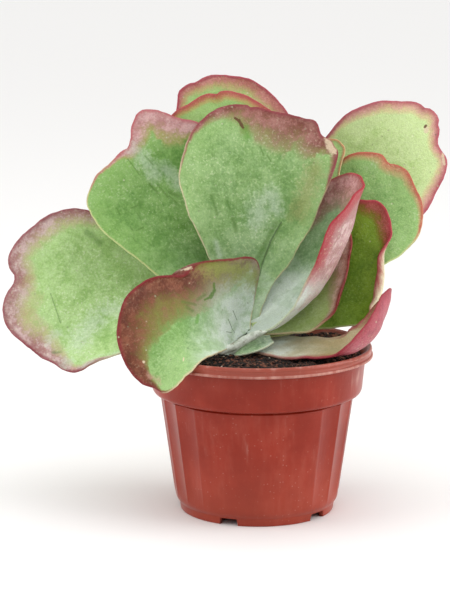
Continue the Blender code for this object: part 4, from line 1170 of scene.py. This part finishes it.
def fibre_bit():
    """A short bent strand of bark, a three-sided tube 9 mm long."""
    line = [(-4.5, 0.0, 0.0), (-2.0, 0.7, 0.5), (0.5, 0.2, 0.8), (2.8, -0.8, 0.5), (4.5, -0.6, 0.1)]
    width = [0.12, 0.34, 0.4, 0.3, 0.1]
    points, faces = [], []
    for (x, y, z), w in zip(line, width):
        points += [(x, y - w, z), (x, y + w, z), (x, y, z + w)]
    for k in range(len(line) - 1):
        a = 3 * k
        faces += [(a + i, a + (i + 1) % 3, a + 3 + (i + 1) % 3, a + 3 + i) for i in range(3)]
    faces += [(2, 1, 0), (3 * len(line) - 3, 3 * len(line) - 2, 3 * len(line) - 1)]
    return make_object("fibre", points, faces)


def scatter_tree():
    """Geometry Nodes: bits of the soil mix strewn on the peat, each turned and sized at random."""
    tree = bpy.data.node_groups.new("strewn soil mix", "GeometryNodeTree")
    for label, kind in (("Ground", "Geometry"), ("Bit", "Object"), ("Density", "Float"),
                        ("Smallest", "Float"), ("Largest", "Float"), ("Seed", "Int"),
                        ("Finish", "Material")):
        tree.interface.new_socket(label, in_out="INPUT", socket_type="NodeSocket" + kind)
    tree.interface.new_socket("Strewn", in_out="OUTPUT", socket_type="NodeSocketGeometry")
    given = add(tree, "NodeGroupInput").outputs
    spots = add(tree, "GeometryNodeDistributePointsOnFaces",
                {"Mesh": given["Ground"], "Density": given["Density"], "Seed": given["Seed"]})
    bit = add(tree, "GeometryNodeObjectInfo", {"Object": given["Bit"]})
    lean = add(tree, "FunctionNodeRandomValue",
               {"Min": (-0.5, -0.5, 0.0), "Max": (0.5, 0.5, 2 * math.pi), "Seed": given["Seed"]},
               data_type="FLOAT_VECTOR")
    size = add(tree, "FunctionNodeRandomValue",
               {2: given["Smallest"], 3: given["Largest"], "Seed": given["Seed"]},
               data_type="FLOAT")
    strewn = add(tree, "GeometryNodeInstanceOnPoints",
                 {"Points": spots.outputs["Points"], "Instance": bit.outputs["Geometry"],
                  "Rotation": lean.outputs[0], "Scale": size.outputs[1]})
    real = add(tree, "GeometryNodeRealizeInstances", {"Geometry": strewn.outputs["Instances"]})
    done = add(tree, "GeometryNodeSetMaterial",
               {"Geometry": real.outputs["Geometry"], "Material": given["Finish"]})
    add(tree, "NodeGroupOutput", {"Strewn": done.outputs["Geometry"]})
    return tree


def scatter(name, ground, bit, tree, density, scale, seed, material):
    """Run the strewing tree on the ground and keep its result as a plain mesh."""
    values = {"Bit": bit, "Density": density, "Smallest": scale[0], "Largest": scale[1],
              "Seed": seed, "Finish": material}
    worker = new_object(name + "_ground", ground.data)
    modifier = worker.modifiers.new("strew", "NODES")
    modifier.node_group = tree
    for item in tree.interface.items_tree:
        if item.item_type == "SOCKET" and item.in_out == "INPUT" and item.name in values:
            modifier[item.identifier] = values[item.name]
    evaluated = worker.evaluated_get(bpy.context.evaluated_depsgraph_get())
    mesh = bpy.data.meshes.new_from_object(evaluated)
    bpy.data.objects.remove(worker)
    return new_object(name, mesh)


# Stem


def knobbly_tube(route, steps, seed, close_start, relief):
    """A closed tube on a route of (x, y, z, radius), ringed and lumpy like a succulent's stem."""
    route = np.array(route, float)
    share = np.linspace(0.0, len(route) - 1.0, steps)
    knots = np.arange(len(route))
    kernel = np.hanning(TUBE_EASE) / np.hanning(TUBE_EASE).sum()
    x, y, z, radius = (
        np.convolve(np.pad(np.interp(share, knots, line), TUBE_EASE // 2, mode="edge"), kernel,
                    mode="valid") for line in route.T)
    centre = np.stack([x, y, z], 1)
    run = run_of(centre)
    rings = 1.0 + relief * (0.06 * np.abs(np.sin(math.pi * run / STEM_RING)) ** 0.5 - 0.04)
    close = np.sqrt(np.clip((run[-1] - run) / TUBE_END, 0.0, 1.0))
    if close_start:
        close *= np.sqrt(np.clip(run / TUBE_END, 0.0, 1.0))
    way = np.gradient(centre, axis=0)
    way /= np.linalg.norm(way, axis=1)[:, None]
    side = np.cross(way, (0.0, 1.0, 0.0))
    side /= np.linalg.norm(side, axis=1)[:, None]
    up = np.cross(way, side)
    turn = np.linspace(0.0, 2 * math.pi, TUBE_SIDES, endpoint=False)
    spoke = np.cos(turn)[None, :, None] * side[:, None] + np.sin(turn)[None, :, None] * up[:, None]
    grid = centre[:, None] + (radius * rings * close)[:, None, None] * spoke
    body = grid.reshape(-1, 3)
    bumps = 0.3 * ripple(body, 5.0, seed) + 0.12 * ripple(body, 2.0, seed + 1)
    rise = relief * bumps * np.repeat(close, TUBE_SIDES)
    body = np.concatenate([body + spoke.reshape(-1, 3) * rise[:, None], [centre[0]], [centre[-1]]])
    index = np.arange(steps * TUBE_SIDES).reshape(steps, TUBE_SIDES)[int(close_start):-1]
    faces = [(face[0], *face[:0:-1]) for face in ring_faces(index, len(body) - 2, len(body) - 1)]
    used = np.unique(np.concatenate([np.array(face) for face in faces]))
    renumber = {int(old): new for new, old in enumerate(used)}
    return body[used], [tuple(renumber[int(p)] for p in face) for face in faces]


def build_stem():
    """The short leaning stem, and in front of it the swelling where the leaf bases join."""
    stem_points, stem_faces = knobbly_tube(STEM_ROUTE, 90, 61, False, 1.0)
    collar_points, collar_faces = knobbly_tube(COLLAR_ROUTE, 70, 71, True, 0.35)
    count = len(stem_points)
    faces = stem_faces + [tuple(p + count for p in face) for face in collar_faces]
    obj = make_object("leaning_stem", np.concatenate([stem_points, collar_points]), faces)
    return dress(obj, stem_skin(), "stem_skin", "stem")


def stem_skin():
    """A succulent's young bark: waxy pale green, greyed by bloom, with corky brown scars."""
    material, tree, shader = new_material("waxy_stem_bark")
    place = add(tree, "ShaderNodeTexCoord").outputs["Object"]
    cloud = add(tree, "ShaderNodeTexNoise", {"Vector": place, "Scale": 180.0, "Detail": 5.0,
                                             "Roughness": 0.6}).outputs["Fac"]
    tone = add(tree, "ShaderNodeMapRange", {"Value": cloud, "From Min": 0.35, "From Max": 0.65},
               **EASED).outputs[0]
    base = add(tree, "ShaderNodeMix", {0: tone, 6: colour("a6b09c"), 7: colour("dfe5da")},
               **TINT).outputs[2]
    cork = add(tree, "ShaderNodeTexNoise", {"Vector": place, "Scale": 420.0,
                                            "Detail": 4.0}).outputs["Fac"]
    cork = add(tree, "ShaderNodeMapRange", {"Value": cork, "From Min": 0.62, "From Max": 0.7,
                                            "To Max": 0.7}, **EASED).outputs[0]
    base = add(tree, "ShaderNodeMix", {0: cork, 6: base, 7: colour("7a6650")}, **TINT).outputs[2]
    tree.links.new(base, shader.inputs["Base Color"])
    shader.inputs["Roughness"].default_value = 0.7
    bump = add(tree, "ShaderNodeBump", {"Height": cloud, "Strength": 0.5, "Distance": 0.0005})
    tree.links.new(bump.outputs["Normal"], shader.inputs["Normal"])
    return material


# Studio


def build_studio():
    """A plain floor, light from all round, from above and from three soft boxes, the camera."""
    scene = bpy.context.scene
    bpy.ops.mesh.primitive_plane_add(size=60.0, location=(0.0, 0.0, 0.0))
    floor = bpy.context.object
    floor.name = "studio_floor"
    material, _, shader = new_material("pale_studio_paper")
    shader.inputs["Base Color"].default_value = colour("f3f2f0")
    shader.inputs["Roughness"].default_value = 0.9
    floor.data.materials.append(material)
    scene.world = bpy.data.worlds.new("studio_surround")
    scene.world.use_nodes = True
    surround = scene.world.node_tree.nodes["Background"]
    surround.inputs["Color"].default_value = colour("fbfbfc")
    surround.inputs["Strength"].default_value = 0.5
    sun = bpy.data.lights.new("overhead", "SUN")
    sun.energy = 1.7
    sun.angle = math.radians(80.0)
    new_object("overhead", sun)
    lamps = [  # name, place and size in metres, power in watts
        ("left_softbox", (-1.25, -0.2, 0.5), 1.0, 7.0),
        ("right_softbox", (1.25, -0.2, 0.45), 1.0, 11.0),
        ("front_softbox", (-0.35, -1.3, 0.9), 0.8, 2.0),
    ]
    for name, place, size, power in lamps:
        light = bpy.data.lights.new(name, "AREA")
        light.size = size
        light.energy = power
        lamp = new_object(name, light)
        lamp.location = place
        aim = -lamp.location
        aim.z += LAMP_AIM
        lamp.rotation_euler = aim.to_track_quat("-Z", "Y").to_euler()
    lens = bpy.data.cameras.new("camera")
    lens.lens = CAMERA_LENS
    lens.sensor_width = CAMERA_SENSOR
    lens.clip_end = 100.0
    camera = new_object("camera", lens)
    camera.location = [c * MM for c in CAMERA_PLACE]
    camera.rotation_euler = (math.radians(90.0 - CAMERA_DOWN), 0.0, 0.0)
    scene.camera = camera
    scene.view_settings.view_transform = "Standard"


build_studio()
build_pot()
build_soil()
build_stem()
for number, leaf_name in enumerate(LEAVES):
    leaf_piece(leaf_name, 100 + 11 * number)
